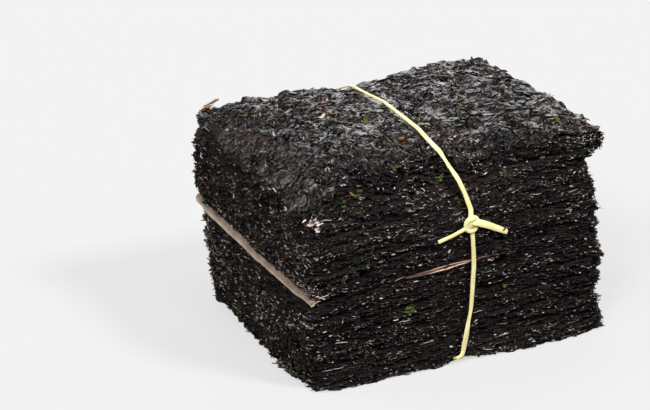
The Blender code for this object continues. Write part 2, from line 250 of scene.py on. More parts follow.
def stacked(*rows):
    """Places from a row for each axis."""
    return np.stack(rows, axis=-1)


def unit(vectors):
    return vectors / np.linalg.norm(vectors, axis=-1, keepdims=True)


# Reading the solids.


def tree_of(frame, node):
    """The node's solid, ready for rays."""
    mesh = frame["nodes"][node].data
    points = [vertex.co.copy() for vertex in mesh.vertices]
    faces = [tuple(face.vertices) for face in mesh.polygons]
    return BVHTree.FromPolygons(points, faces)


def box_of(nodes):
    lows, highs = zip(*(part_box(node) for node in nodes))
    low = Vector(min(corner[axis] for corner in lows) for axis in range(3))
    high = Vector(max(corner[axis] for corner in highs) for axis in range(3))
    return low, high


class Pile:
    """The whole pile's plain rectangle, the even stations round it and the grid that heights are read on."""

    def __init__(self, nodes):
        low, high = box_of(nodes)
        self.middle = np.array(((low.x + high.x) / 2.0, (low.y + high.y) / 2.0))
        self.half = np.array((high.x - low.x, high.y - low.y)) / 2.0 - OUTLINE_INSET
        self.base, self.normal = self.stations()
        self.inner = self.middle + (self.base - self.middle) * (1.0 - BAND_DEPTH / self.half)
        self.grid_x = np.linspace(low.x, high.x, GRID_LINES[0])
        self.grid_y = np.linspace(low.y, high.y, GRID_LINES[1])

    def stations(self):
        """Points and outward normals round a rectangle with rounded corners, anticlockwise."""
        points = []
        normals = []
        for turn in range(4):
            angle = turn * math.pi / 2.0
            outward = np.array((math.cos(angle), math.sin(angle)))
            along = np.array((-outward[1], outward[0]))
            reach = self.half[turn % 2]
            run = self.half[(turn + 1) % 2] - OUTLINE_RADIUS
            for step in np.arange(0.0, 1.0, PLY_STEP / (2.0 * run)):
                points.append(outward * reach + along * run * (2.0 * step - 1.0))
                normals.append(outward)
            centre = outward * (reach - OUTLINE_RADIUS) + along * run
            for step in np.arange(0.0, 1.0, PLY_STEP / (OUTLINE_RADIUS * math.pi / 2.0)):
                swing = angle + step * math.pi / 2.0
                direction = np.array((math.cos(swing), math.sin(swing)))
                points.append(centre + direction * OUTLINE_RADIUS)
                normals.append(direction)
        return np.array(points) + self.middle, np.array(normals)

    def facing(self, direction, least):
        """Numbers of the stations that face a direction."""
        return np.flatnonzero(self.normal @ np.array(direction) > least)

    def read_face(self, tree, side, level_enough):
        """Heights of a solid's upper or lower face on the grid, and gaps where no level face is."""
        heights = np.full(GRID_LINES, np.nan)
        for row, x in enumerate(self.grid_x):
            for column, y in enumerate(self.grid_y):
                hit, normal = tree.ray_cast(Vector((x, y, side)), Vector((0.0, 0.0, -side)))[:2]
                if hit is not None and abs(normal.z) > level_enough:
                    heights[row, column] = hit.z
        return heights

    def read_grid(self, heights, x, y):
        """Heights at places, bilinear on the grid."""
        grid_x, grid_y = self.grid_x, self.grid_y
        across = np.clip((x - grid_x[0]) / (grid_x[1] - grid_x[0]), 0.0, len(grid_x) - 1.001)
        along = np.clip((y - grid_y[0]) / (grid_y[1] - grid_y[0]), 0.0, len(grid_y) - 1.001)
        row = across.astype(int)
        column = along.astype(int)
        s = across - row
        t = along - column
        near = heights[row, column] * (1.0 - s) + heights[row + 1, column] * s
        far = heights[row, column + 1] * (1.0 - s) + heights[row + 1, column + 1] * s
        return near * (1.0 - t) + far * t


def carried_on(heights, steps):
    """The grid with its gaps filled from within, each on the slope of the two cells before it."""
    heights = heights.copy()
    rows, columns = heights.shape

    def shifted(across, along):
        return padded[2 + across : 2 + across + rows, 2 + along : 2 + along + columns]

    while np.isnan(heights).any():
        padded = np.pad(heights, 2, constant_values=np.nan)
        guesses = []
        for across, along in ((1, 0), (-1, 0), (0, 1), (0, -1)):
            most = SLOPE_MOST * (steps[0] if across else steps[1])
            near = shifted(across, along)
            rise = np.nan_to_num(near - shifted(2 * across, 2 * along))
            guesses.append(near + np.clip(rise, -most, most))
        known = ~np.isnan(np.array(guesses))
        total = np.where(known, guesses, 0.0).sum(axis=0)
        count = known.sum(axis=0)
        fill = np.isnan(heights) & (count > 0)
        heights[fill] = total[fill] / count[fill]
    return heights


class Packet:
    """One packet's solid: its upper and lower faces as height grids, and its outline."""

    def __init__(self, node, tree, pile):
        self.node = node
        self.pile = pile
        self.tree = tree
        self.low = pile.read_face(tree, -1.0, LEVEL_ENOUGH)
        self.high = pile.read_face(tree, 1.0, LEVEL_ENOUGH)
        self.fill = 1.0

    def height(self, x, y, share):
        low = self.pile.read_grid(self.low, x, y)
        high = self.pile.read_grid(self.high, x, y)
        return low + (high - low) * share

    def read_sides(self):
        """How far out of the plain rectangle the side is at each station, and how much it leans out."""
        base, normal = self.pile.base, self.pile.normal
        picked = np.arange(0, len(base), SIDE_SKIP)
        found = np.full((len(SIDE_SHARES), len(picked)), np.nan)
        for row, share in enumerate(SIDE_SHARES):
            heights = self.height(base[picked, 0], base[picked, 1], share)
            for column, station in enumerate(picked):
                direction = Vector((*normal[station], 0.0))
                start = Vector((*base[station], heights[column])) + direction * RAY_REACH
                distance = self.tree.ray_cast(start, -direction)[3]
                if distance is not None and abs(RAY_REACH - distance) < SIDE_MOST:
                    found[row, column] = RAY_REACH - distance
        half = len(SIDE_SHARES) // 2
        stations = np.arange(len(base))
        rows = []
        for part in (found, found[:half], found[half:]):
            known = ~np.isnan(part).all(axis=0)
            values = np.nanmedian(part[:, known], axis=0)
            values = np.interp(stations, picked[known], values, period=len(base))
            rows.append(softened(values[:, None], 8, True)[:, 0])
        self.out = rows[0]
        self.lean = np.clip(rows[2] - rows[1], -SIDE_LEAN, SIDE_LEAN)
        self.foot = self.out - self.lean
        self.head = self.out + self.lean
        self.retreat = np.zeros(len(base))

    def outline(self, shares):
        """How far out the side is at each station, for shares of the height."""
        shares = np.asarray(shares)[:, None]
        plain = self.out + self.lean * (2.0 * shares - 1.0)
        low = (self.foot - self.out + self.lean) * eased(0.45, 0.0, shares)
        high = (self.head - self.out - self.lean) * eased(0.55, 1.0, shares)
        return plain + low + high - self.retreat * eased(0.05, 1.1, shares)


def read_packets(frame, names, pile):
    """The packets, with each pair that meets sharing one face out to the rims."""
    packets = [Packet(name, tree_of(frame, name), pile) for name in names]
    packets[-1].high = pile.read_face(packets[-1].tree, 1.0, TOP_LEVEL_ENOUGH)
    steps = (pile.grid_x[1] - pile.grid_x[0], pile.grid_y[1] - pile.grid_y[0])
    for below, above in zip(packets, packets[1:]):
        if np.nanmedian(above.low - below.high) < MEETING_GAP:
            below.high = above.low = carried_on((below.high + above.low) / 2.0, steps)
        else:
            seen = (below.high + above.low) * 0.0
            below.high = carried_on(below.high + seen, steps)
            above.low = carried_on(above.low + seen, steps)
    packets[0].low = carried_on(packets[0].low, steps)
    packets[-1].high = carried_on(packets[-1].high, steps)
    for packet in packets:
        packet.read_sides()
    for below, above in zip(packets, packets[1:]):
        below.head = above.foot = (below.out + below.lean + above.out - above.lean) / 2.0
    return packets


def step_back(packet):
    """Shortens the top packet's upper sheets along the front, most left of the straw."""
    x = packet.pile.base[:, 0]
    front = np.clip(-packet.pile.normal[:, 1], 0.0, 1.0) ** 4
    uneven = 1.0 + bumps(x, 0.0, 0.0, (0.45, 17.0, 1.0, 18), (0.45, 5.0, 1.0, 19))
    packet.retreat = front * read_off(STEP_BACK, x / MM) * uneven * MM


def close_gap(pile, below, above):
    """Lets the sheets above and below the slip meet along the front, the right and the back."""
    x, y = np.meshgrid(pile.grid_x, pile.grid_y, indexing="ij")
    reach = pile.half + OUTLINE_INSET
    inside_x = (reach[0] - np.abs(x - pile.middle[0])) / MM
    inside_y = (reach[1] - np.abs(y - pile.middle[1])) / MM
    right = x > pile.middle[0]
    rim = np.maximum(eased(MEET_FROM, MEET_TO, inside_y), eased(MEET_FROM, MEET_TO, inside_x) * right)
    fall = (above.low - below.high) * np.where(right | (inside_x >= MEET_FROM), rim, 0.0) / 2.0
    below.high = below.high + fall
    above.low = above.low - fall


# Uneven numbers: smooth noise from a fixed hash, the same on each run.

CELL_MIXERS = (374761393, 668265263, 1440662683)
SEED_MIXER = 144269
LAST_MIXER = 1274126177


def hashed(cells, seed):
    """An uneven number from -1 to 1 for each cell."""
    mixed = sum(cell * mixer for cell, mixer in zip(cells, CELL_MIXERS)) + seed * SEED_MIXER
    mixed = (mixed ^ (mixed >> 13)) * LAST_MIXER
    mixed = mixed ^ (mixed >> 16)
    return (mixed & 0xFFFF) / 32767.5 - 1.0


def wobble(x, y, z, seed):
    """Smooth noise from -1 to 1 over three coordinates, one bump to a unit."""
    x, y, z = np.broadcast_arrays(x, y, z)
    axes = (x, y, z)
    cells = [np.floor(axis).astype(np.int64) for axis in axes]
    shares = [axis - cell for axis, cell in zip(axes, cells)]
    shares = [share * share * (3.0 - 2.0 * share) for share in shares]
    total = np.zeros(x.shape)
    for corner in range(8):
        steps = [(corner >> bit) & 1 for bit in range(3)]
        weight = 1.0
        for step, share in zip(steps, shares):
            weight = weight * (share if step else 1.0 - share)
        total += weight * hashed([cell + step for cell, step in zip(cells, steps)], seed)
    return total


def bumps(x, y, layer, *waves):
    """Wobbles added up, each with a height, a size in millimetres, a size in layers and a seed."""
    x, y = x / MM, y / MM
    return sum(high * wobble(x / size, y / size, layer / deep, seed) for high, size, deep, seed in waves)


# Making meshes: one template from operators, placed many times.


def finished_template(bm):
    bmesh.ops.recalc_face_normals(bm, faces=bm.faces[:])
    mesh = bpy.data.meshes.new("template")
    bm.to_mesh(mesh)
    bm.free()
    places = np.empty(len(mesh.vertices) * 3, np.float32)
    mesh.vertices.foreach_get("co", places)
    return mesh, places.reshape(-1, 3).astype(float)


def ring_template(stations, sides):
    """A closed ring, a section spun round. Returns it with each vertex's station and side."""
    bm = bmesh.new()
    turn = Matrix.Translation((1.0, 0.0, 0.0)) @ Matrix.Rotation(math.pi / 2.0, 4, "X")
    section = bmesh.ops.create_circle(bm, segments=sides, radius=0.3, matrix=turn)["verts"]
    edges = list({edge for vertex in section for edge in vertex.link_edges})
    turning = {"cent": (0.0, 0.0, 0.0), "axis": (0.0, 0.0, 1.0), "angle": 2.0 * math.pi}
    bmesh.ops.spin(bm, geom=section + edges, steps=stations, use_merge=True, **turning)
    mesh, places = finished_template(bm)
    angle = np.arctan2(places[:, 1], places[:, 0])
    station = np.rint(angle / (2.0 * math.pi) * stations).astype(int) % stations
    radius = np.hypot(places[:, 0], places[:, 1]) - 1.0
    side = np.rint(np.arctan2(places[:, 2], radius) / (2.0 * math.pi) * sides).astype(int) % sides
    return mesh, station, side


def cut_upright(bm, cuts):
    """Cuts the edges that run up a shape."""
    upright = [edge for edge in bm.edges if abs(edge.verts[0].co.z - edge.verts[1].co.z) > 0.5]
    bmesh.ops.subdivide_edges(bm, edges=upright, cuts=cuts)


def tube_template(stations, sides):
    """A closed tube with flat ends. Returns it with each vertex's station and turn."""
    bm = bmesh.new()
    bmesh.ops.create_cone(bm, cap_ends=True, segments=sides, radius1=1.0, radius2=1.0, depth=stations - 1.0)
    cut_upright(bm, stations - 2)
    mesh, places = finished_template(bm)
    station = np.rint(places[:, 2] + (stations - 1) / 2.0).astype(int)
    return mesh, station, np.arctan2(places[:, 1], places[:, 0])


def slab_template(along, across, levels):
    """A closed slab over a grid. Returns it with each vertex's place from -1 to 1 each way and its level."""
    bm = bmesh.new()
    bmesh.ops.create_grid(bm, x_segments=along, y_segments=across, size=1.0)
    raised = bmesh.ops.extrude_face_region(bm, geom=bm.faces[:])["geom"]
    lifted = [item for item in raised if isinstance(item, bmesh.types.BMVert)]
    bmesh.ops.translate(bm, verts=lifted, vec=(0.0, 0.0, float(levels)))
    if levels > 1:
        cut_upright(bm, levels - 1)
    mesh, places = finished_template(bm)
    return mesh, places[:, 0], places[:, 1], np.rint(places[:, 2]).astype(int)


def flake_template(points, rows):
    """A round lens, to be torn, narrowed and bent when it is placed."""
    bm = bmesh.new()
    bmesh.ops.create_uvsphere(bm, u_segments=points, v_segments=rows, radius=1.0)
    return finished_template(bm)


def repeated(template, places):
    """One mesh with the template in it once for each set of vertex places."""
    copies, points = places.shape[:2]
    corners = np.empty(len(template.loops), np.int32)
    template.loops.foreach_get("vertex_index", corners)
    starts = np.empty(len(template.polygons), np.int32)
    template.polygons.foreach_get("loop_start", starts)
    step = np.arange(copies, dtype=np.int32)[:, None]
    mesh = bpy.data.meshes.new("repeated")
    mesh.vertices.add(copies * points)
    mesh.vertices.foreach_set("co", places.astype(np.float32).ravel())
    mesh.loops.add(copies * len(corners))
    mesh.loops.foreach_set("vertex_index", (corners + step * points).ravel())
    mesh.polygons.add(copies * len(starts))
    mesh.polygons.foreach_set("loop_start", (starts + step * len(corners)).ravel())
    mesh.update(calc_edges=True)
    return mesh


def set_shade(mesh, name, values):
    """A number for each vertex that the finish reads."""
    attribute = mesh.attributes.new(name=name, type="FLOAT", domain="POINT")
    attribute.data.foreach_set("value", np.ascontiguousarray(values, np.float32).ravel())


def joined(meshes):
    """One mesh of several, with their shades."""
    bm = bmesh.new()
    for mesh in meshes:
        bm.from_mesh(mesh)
    whole = bpy.data.meshes.new("joined")
    bm.to_mesh(whole)
    bm.free()
    return whole


def crisp(mesh):
    """The mesh shaded smooth, with sharp edges where its faces turn by more than 50 degrees."""
    mesh.shade_smooth()
    mesh.set_sharp_from_angle(angle=math.radians(50))
    return mesh


def linked(name, data):
    """A new object at the origin."""
    made = bpy.data.objects.new(name, data)
    bpy.context.scene.collection.objects.link(made)
    return made


def piece(name, mesh, finish, nodes=()):
    """A finished piece that rides on the bundle."""
    mesh.name = name
    mesh.materials.clear()
    mesh.materials.append(finish)
    obj = linked(name, mesh)
    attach(obj, "root")
    if nodes:
        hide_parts(*nodes)


# Shader maths.


class Value:
    """A number that varies over a surface. Arithmetic on it adds Math nodes."""

    def __init__(self, tree, socket):
        self.tree = tree
        self.socket = socket

    def maths(self, operation, *terms):
        node = self.tree.nodes.new("ShaderNodeMath")
        node.operation = operation
        for socket, term in zip(node.inputs, terms):
            if isinstance(term, Value):
                self.tree.links.new(term.socket, socket)
            else:
                socket.default_value = term
        return Value(self.tree, node.outputs[0])

    def __add__(self, other):
        return self.maths("ADD", self, other)

    __radd__ = __add__

    def __sub__(self, other):
        return self.maths("SUBTRACT", self, other)

    def __rsub__(self, other):
        return self.maths("SUBTRACT", other, self)

    def __mul__(self, other):
        return self.maths("MULTIPLY", self, other)

    __rmul__ = __mul__

    def __truediv__(self, other):
        return self.maths("DIVIDE", self, other)

    def __pow__(self, other):
        return self.maths("POWER", self, other)

    def least(self, other):
        return self.maths("MINIMUM", self, other)

    def most(self, other):
        return self.maths("MAXIMUM", self, other)

    def __abs__(self):
        return self.maths("ABSOLUTE", self)

    def band(self, low, high):
        """0 below low, 1 above high, even between."""
        return ((self - low) / (high - low)).most(0.0).least(1.0)


class Finish:
    """A material, its shader and the nodes that feed it."""

    def __init__(self, name):
        self.material = bpy.data.materials.new(name)
        self.material.use_nodes = True
        self.tree = self.material.node_tree
        self.shader = self.tree.nodes["Principled BSDF"]

    def add(self, kind, settings=None, sockets=None, output=0):
        """A node of any kind: its settings first, then the values or links of its sockets."""
        node = self.tree.nodes.new(kind)
        for name, setting in (settings or {}).items():
            setattr(node, name, setting)
        for name, term in (sockets or {}).items():
            self.feed(node.inputs[name], term)
        return Value(self.tree, node.outputs[output])

    def feed(self, socket, term):
        if isinstance(term, Value):
            self.tree.links.new(term.socket, socket)
        else:
            socket.default_value = term

    def set(self, name, term):
        self.feed(self.shader.inputs[name], term)

    def place(self):
        return self.add("ShaderNodeTexCoord", output="Object")

    def noise(self, place, scale, detail=2.0, rough=0.5, seed=0.0, twist=0.0):
        shift = (seed, 1.7 * seed, 0.6 * seed)
        shifted = self.add("ShaderNodeVectorMath", {"operation": "ADD"}, {0: place, 1: shift})
        sockets = {"Vector": shifted, "Scale": scale, "Detail": detail}
        return self.add("ShaderNodeTexNoise", None, {**sockets, "Roughness": rough, "Distortion": twist})

    def shade(self, name):
        return self.add("ShaderNodeAttribute", {"attribute_name": name}, output="Fac")

    def mix(self, share, first, second):
        """The first colour where share is 0 and the second where it is 1."""
        first, second = (term if isinstance(term, Value) else (*term, 1.0) for term in (first, second))
        return self.add("ShaderNodeMix", {"data_type": "RGBA"}, {0: share, 6: first, 7: second}, 2)

    def bump(self, height, strength, distance):
        sockets = {"Height": height, "Strength": strength, "Distance": distance}
        self.set("Normal", self.add("ShaderNodeBump", None, sockets))


def laver_finish(name, rough, specular, brownness, thread_scale, relief):
    """Dried laver: purple-black, in places brown, green and orange-brown, which on threads at the sides is a
    painted glow of light shining through them, and pale on a few bits and as painted glints.
    """
    finish = Finish(name)
    place = finish.place()
    shade = finish.shade("shade")
    patch = finish.noise(place, 90.0, 3.0, 0.6)
    fine = finish.noise(place, 420.0, 2.0, 0.6, seed=1.3)
    spots = finish.noise(place, 260.0, 2.0, 0.6, seed=5.2)
    threads = (1.0 - abs(finish.noise(place, thread_scale, 3.0, 0.6, seed=3.1, twist=1.2) * 2.0 - 1.0)) ** 4.0
    wrinkles = finish.noise(place, 800.0, 2.0, 0.7, seed=7.7)
    black = finish.mix(shade, *LAVER)
    brown_share = (patch * 0.5 + spots * 0.5 + shade * 0.10).band(0.52, 0.66) * brownness
    brown = finish.mix(brown_share, black, BROWN)
    moss_share = finish.noise(place, 150.0, 2.0, 0.6, seed=9.4).band(0.64, 0.72) * 0.5
    mossy = finish.mix(moss_share, brown, MOSS)
    leafy = finish.mix(finish.shade("green") * fine.band(0.30, 0.5), mossy, GREEN)
    # Orange-brown: a few real bits, and on threads sticking out of the sides mostly a painted glow of light
    # shining through them.
    orange_tinted = finish.mix(finish.shade("rust_and_glow"), leafy, RUST_AND_GLOW)
    # Pale: the colour of a few pale bits, and painted glints on many torn bits.
    finish.set("Base Color", finish.mix(finish.shade("pale"), orange_tinted, PALE_BITS_AND_GLINTS))
    finish.set("Roughness", rough + 0.16 * fine)
    finish.bump(threads * 0.5 + wrinkles * 0.5, 0.8, relief)
    finish.set("Specular IOR Level", specular)
    finish.set("Specular Tint", GLOSS)
    return finish.material


def slip_finish():
    """Tan wrapping paper, with faint folds and darker smudges, and painted shade between the lips of its
    front edge.
    """
    finish = Finish("slip_paper")
    place = finish.place()
    mottle = finish.noise(place, 160.0, 3.0, 0.6).band(0.35, 0.65)
    fibre = finish.noise(place, 900.0, 2.0, 0.6, seed=2.0)
    dull = finish.mix(mottle, *DULL_PAPER)
    warm = finish.mix(mottle, *WARM_PAPER)
    pale = finish.mix(finish.shade("shade"), dull, warm)
    # The front edge: its pale lips, and painted shade in the recess between them and on the faces behind
    # them.
    edge = finish.mix(finish.shade("groove_shade"), *PAPER_EDGE_AND_SHADE)
    edged_paper = finish.mix(finish.shade("front_edge"), pale, edge)
    finish.set("Base Color", finish.mix(fibre.band(0.5, 0.75) * 0.35, edged_paper, SMUDGE))
    finish.set("Roughness", 0.72 + 0.2 * fibre)
    finish.bump(fibre, 0.5, 0.3 * MM)
    return finish.material


def straw_finish():
    """Pale yellow straw with fine fibres along it, brown at the hook's tip, and with painted shade on the
    knot's body where the ring's eye shows it.
    """
    finish = Finish("straw")
    place = finish.place()
    shade = finish.shade("shade")
    mottle = finish.noise(place, 140.0, 2.0, 0.5)
    fine = finish.noise(place, 900.0, 2.0, 0.6, seed=4.0)
    pale = finish.mix(mottle.band(0.35, 0.7), *STRAW)
    finish.set("Base Color", finish.mix(shade, pale, BROWN_STRAW_AND_SHADE))
    finish.set("Roughness", 0.45 + 0.2 * fine)
    finish.bump(fine, 0.35, 0.2 * MM)
    return finish.material


# Sheets.


def near_tie(x):
    """1 where the straw crosses the front or the back, 0 well away from it."""
    return np.exp(-(((x - STRAW_X) / CALM_WIDTH) ** 2))


def ply_edges(packet, first, shares):
    """How far out each ply's plain outline is at each station, and its ridges and torn edge beyond that."""
    x, y = packet.pile.base.T[:, None]
    nx, ny = packet.pile.normal.T[:, None]
    layer = (first + np.arange(len(shares)))[:, None]
    end = nx**2
    left = np.clip(-nx, 0.0, 1.0)
    slope = packet.retreat[None, :] / (PLIES * PLY_STEP)

    slot = bumps(x, y, layer, (1.0, 13.0, 1.7, 16))
    ridge = bumps(x, y, layer, (1.3, 26.0, 2.8, 11), (0.9, 8.0, 1.8, 12))
    ridge = ridge - 6.0 * np.clip(slot - 0.34, 0.0, None) + slope * bumps(x, y, layer, (4.5, 8.0, 1.2, 34))
    torn = bumps(x, y, layer, (0.95, 4.6, 1.0, 13), (0.5, 1.8, 1.0, 14))
    barb = bumps(x, y, layer, (1.0, 1.3, 1.0, 15))
    barb = 3.0 * np.clip(barb - 0.50, 0.0, None) - 2.6 * np.clip(-0.50 - barb, 0.0, None)
    loose = (torn * (1.0 + 0.5 * end) + barb * (1.0 + 0.6 * end)) * (1.0 + 1.6 * slope)
    foot = 1.7 * np.exp(-((layer / 2.2) ** 2)) * (0.6 + bumps(x, y, layer, (0.4, 11.0, 1.5, 17)))
    calm = 1.0 - 0.75 * near_tie(x) * (1.0 - end)
    tucked = 1.3 * left * np.exp(-(((layer - SLIP_LAYER) / 2.2) ** 2))
    edge = (ridge * (1.0 + 0.3 * end) + loose + foot) * calm - tucked

    height = packet.height(x, y, np.asarray(shares)[:, None]) / MM
    right_edge = read_off(RIGHT_EDGE, height)
    left_edge = read_off(LEFT_EDGE, height)
    right = np.clip(nx, 0.0, 1.0) ** 2 * eased(30.0, -50.0, y / MM)
    front_end = np.clip(-ny, 0.0, 1.0) ** 2 * eased(78.0, 98.0, x / MM)
    back_end = np.clip(ny, 0.0, 1.0) * eased(-80.0, -96.0, x / MM)
    stand = right * right_edge + ROUND_CORNER * front_end * np.minimum(right_edge, 0.0)
    stand = stand + left * eased(-30.0, 50.0, y / MM) * left_edge
    stand = stand + ROUND_CORNER * back_end * np.minimum(left_edge, 0.0)
    return packet.outline(shares) + stand * MM, edge * MM


def ply_ripple(x, y, layer):
    """The plies' shared waves and each one's own crinkles, in metres up."""
    return bumps(x, y, layer, (0.42, 12.0, 4.2, 21), (0.36, 4.6, 1.9, 22), (0.22, 2.1, 1.0, 23)) * MM


def packet_plies(packet, first, template):
    """The ragged plies of one packet, each a closed band that runs in under the next."""
    mesh, station, side = template
    pile = packet.pile
    share = ((np.arange(PLIES) + 0.5) / PLIES)[:, None]
    out, edge = ply_edges(packet, first, share[:, 0])
    layer = (first + np.arange(PLIES))[:, None]
    x0, y0 = pile.base.T[:, None]
    nx, ny = pile.normal.T[:, None]
    tuck = (0.8 + bumps(x0, y0, layer, (0.35, 3.0, 1.0, 31))) * MM
    tip = (bumps(x0, y0, layer, (0.55, 2.6, 1.0, 32)) - 0.2) * MM
    rings = []
    for reach, lift in ((out + edge, tip), (out + 0.5 * edge - tuck, PLY_HALF_THICK)):
        x = x0 + nx * reach
        y = y0 + ny * reach
        rings.append(stacked(x, y, packet.height(x, y, share) + ply_ripple(x, y, layer) + lift))
    x, y = (np.broadcast_to(axis, out.shape) for axis in pile.inner.T[:, None])
    rings.append(stacked(x, y, packet.height(x, y, share * packet.fill)))
    packet.rim = rings[0]
    packet.bulge = edge
    places = np.stack(rings, axis=2)[:, station, side]
    places[..., 2] = np.maximum(places[..., 2], LOWEST)
    plies = repeated(mesh, places)
    set_shade(plies, "shade", 0.5 + bumps(places[..., 0], places[..., 1], layer, (0.5, 6.0, 1.0, 33)))
    return plies


def packet_core(packet, template):
    """The packet's plain middle, inside the plies' bands."""
    mesh, along, across, level = template
    pile = packet.pile
    x = pile.middle[0] + along * (pile.half[0] - CORE_DEPTH)
    y = pile.middle[1] + across * (pile.half[1] - CORE_DEPTH)
    places = stacked(x, y, packet.height(x, y, (0.03 + 0.94 * level) * packet.fill))
    core = repeated(mesh, places[None])
    set_shade(core, "shade", np.full(len(places), 0.4))
    return core


def sheet_places(pile, out, edge, along, across):
    """Places on a whole sheet, which reaches its plain outline softly and its ragged rim at once."""
    shares = (along, across)
    start = (pile.middle[0] + along * pile.half[0], pile.middle[1] + across * pile.half[1])
    moved = list(start)
    for _, direction, axis in SIDES:
        other = 1 - axis
        picked = pile.facing(direction, STRAIGHT)
        order = picked[np.argsort(pile.base[picked, axis])]
        stations = pile.base[order, axis]
        share = np.clip(direction[other] * shares[other], 0.0, 1.0)
        plain = share**3 * np.interp(start[axis], stations, out[order])
        ragged = share**RIM_POWER * np.interp(start[axis], stations, edge[order])
        moved[other] = moved[other] + direction[other] * (plain + ragged)
    return moved


def crinkle(x, y, z, seed):
    """The matted surface of a sheet: soft heaps, folds, small wrinkles and holes, in metres."""
    x, y, z = x / MM, y / MM, z / MM

    def waves(number, long, wide, high):
        return wobble(x / long, y / wide, z / high, seed + number)

    def swirl(number):
        return 4.0 * waves(number, 17.0, 17.0, 17.0) + 1.2 * waves(number + 2, 5.0, 5.0, 5.0)

    x, y = x + swirl(8), y + swirl(9)
    heaps = waves(0, 15.0, 13.0, 14.0)
    folds = (1.0 - np.abs(waves(1, 8.5, 7.0, 8.0))) ** 3 - 0.3
    small = (1.0 - np.abs(waves(2, 3.8, 3.2, 3.5))) ** 2 - 0.5
    fine = waves(4, 1.7, 1.7, 1.7)
    pits = eased(0.20, 0.62, waves(3, 5.0, 4.4, 4.7))
    return (0.8 * heaps + 1.4 * folds + 0.75 * small + 0.15 * fine - 2.3 * pits) * MM


def top_height(packet, x, y):
    """The top sheet's height. The straw presses its heaps down."""
    plain = packet.height(x, y, 1.0)
    relief = crinkle(x, y, plain, TOP_SEED)
    pressed = np.exp(-(((x + 1.5 * MM) / (5.0 * MM)) ** 2))
    return plain + relief - 0.9 * pressed * np.maximum(relief, 0.0)


def whole_sheet(packet, share, thick, grid, seed):
    """A whole crinkled sheet on a packet's upper or lower face."""
    mesh, along, across, level = slab_template(*grid, 1)
    out, edge = ply_edges(packet, SHEET_LAYER + seed, (share,))
    x, y = sheet_places(packet.pile, out[0], edge[0], along, across)
    if share > 0.5:
        rim = np.maximum(np.abs(along), np.abs(across)) ** 12
        curl = eased(0.955, 1.0, along) * np.clip(bumps(x, y, 0.0, (1.0, 4.0, 1.0, 35)) + 0.3, 0.0, None)
        height = top_height(packet, x, y) + 1.5 * MM * curl - thick * (1.0 - level) * (1.0 - 0.6 * rim)
    else:
        height = packet.height(x, y, 0.0) + thick * level + 0.15 * np.abs(crinkle(x, y, 0.0, seed))
        height = np.maximum(height, 0.0)
    sheet = repeated(mesh, stacked(x, y, height)[None])
    sheet.shade_smooth()
    set_shade(sheet, "shade", 0.5 + bumps(x, y, 0.0, (0.5, 5.0, 1.0, seed + 5)))
    return sheet


# Torn flakes.


def clear_of(path, places, gap):
    """Which places keep a gap to a path."""
    far = np.ones(len(places), bool)
    for point in path:
        far &= np.sum((places - point) ** 2, axis=1) > gap**2
    return far


def torn_outline(form, sizes, rng, torn):
    """How far along and across each flake's points are. The points of one sector are torn alike."""
    angle = np.arctan2(form[:, 1], form[:, 0])
    sector = np.rint(angle / (2.0 * math.pi) * TORN_SECTORS).astype(int) % TORN_SECTORS
    tear = 1.0 + torn * rng.uniform(-1.0, 1.0, (len(sizes), TORN_SECTORS))[:, sector]
    return (form[None, :, axis] * tear * sizes[:, None, axis] for axis in (0, 1))


def flake_sizes(rng, count, long, narrow, stretch=1.0):
    """Half lengths and widths. long is a gamma draw's shape and scale and what is added, in millimetres."""
    shape, scale, least = long
    length = (rng.gamma(shape, scale, count) * MM + least * MM) * stretch
    return stacked(length, length * rng.uniform(*narrow, count))


def tones(centres, rng, pale=0.0, rust_and_glow=0.01, moss=0.60):
    """Colours for flakes: a shade each, some pale as painted glints, some orange-brown, and some green in
    small patches.
    """
    count = len(centres)
    x, y, z = centres.T
    z = z / MM
    crowd = 0.35 + 1.3 * eased(-0.4, 0.5, bumps(x, y, z, (1.0, 10.0, 7.0, 91)))
    # The pale flakes are painted glints, gathered in clusters.
    glinting = rng.uniform(size=count) < pale * crowd
    orange_tinted = rng.uniform(size=count) < rust_and_glow
    mossy = rng.uniform(size=count) < 0.7
    mossy = mossy * eased(moss, moss + 0.06, bumps(x, y, z, (1.0, 6.5, 6.5, 92)))
    return {
        "shade": rng.uniform(0.0, 1.0, count) ** 1.5,
        "pale": glinting * (0.05 + 0.95 * rng.uniform(0.0, 1.0, count) ** 1.5),
        "rust_and_glow": orange_tinted * rng.uniform(0.1, 1.0, count) ** 1.5,
        "green": mossy * rng.uniform(0.3, 1.0, count),
    }


def tinted(template, places, tone):
    """The flakes' mesh, each flake in its own colours."""
    made = repeated(template, places)
    for shade, values in tone.items():
        set_shade(made, shade, np.repeat(values, places.shape[1]))
    return made


def flakes(template, centres, normals, grains, sizes, rng, tone, thick, bend, torn):
    """Torn flakes at given centres. grains are the directions that their length follows."""
    mesh, form = template
    normal = unit(normals)
    length = unit(grains - normal * np.sum(grains * normal, axis=1, keepdims=True))
    width = np.cross(normal, length)
    sizes = sizes * np.where(tone["pale"][:, None] > 0.0, PALE_SIZE, 1.0)
    flat_x, flat_y = torn_outline(form, sizes, rng, torn)
    curl = bend * rng.uniform(-1.0, 1.0, (len(centres), 3))[:, None, :]
    rise = curl[..., 0] * flat_x**2 + curl[..., 1] * flat_y**2 + curl[..., 2] * flat_x * flat_y
    rise = rise / sizes[:, None, 0] + form[None, :, 2] * thick
    places = centres[:, None, :] + length[:, None, :] * flat_x[..., None]
    places = places + width[:, None, :] * flat_y[..., None] + normal[:, None, :] * rise[..., None]
    places[..., 2] += np.maximum(FLAKE_LOWEST - places[..., 2].min(axis=1), 0.0)[:, None]
    return tinted(mesh, places, tone)


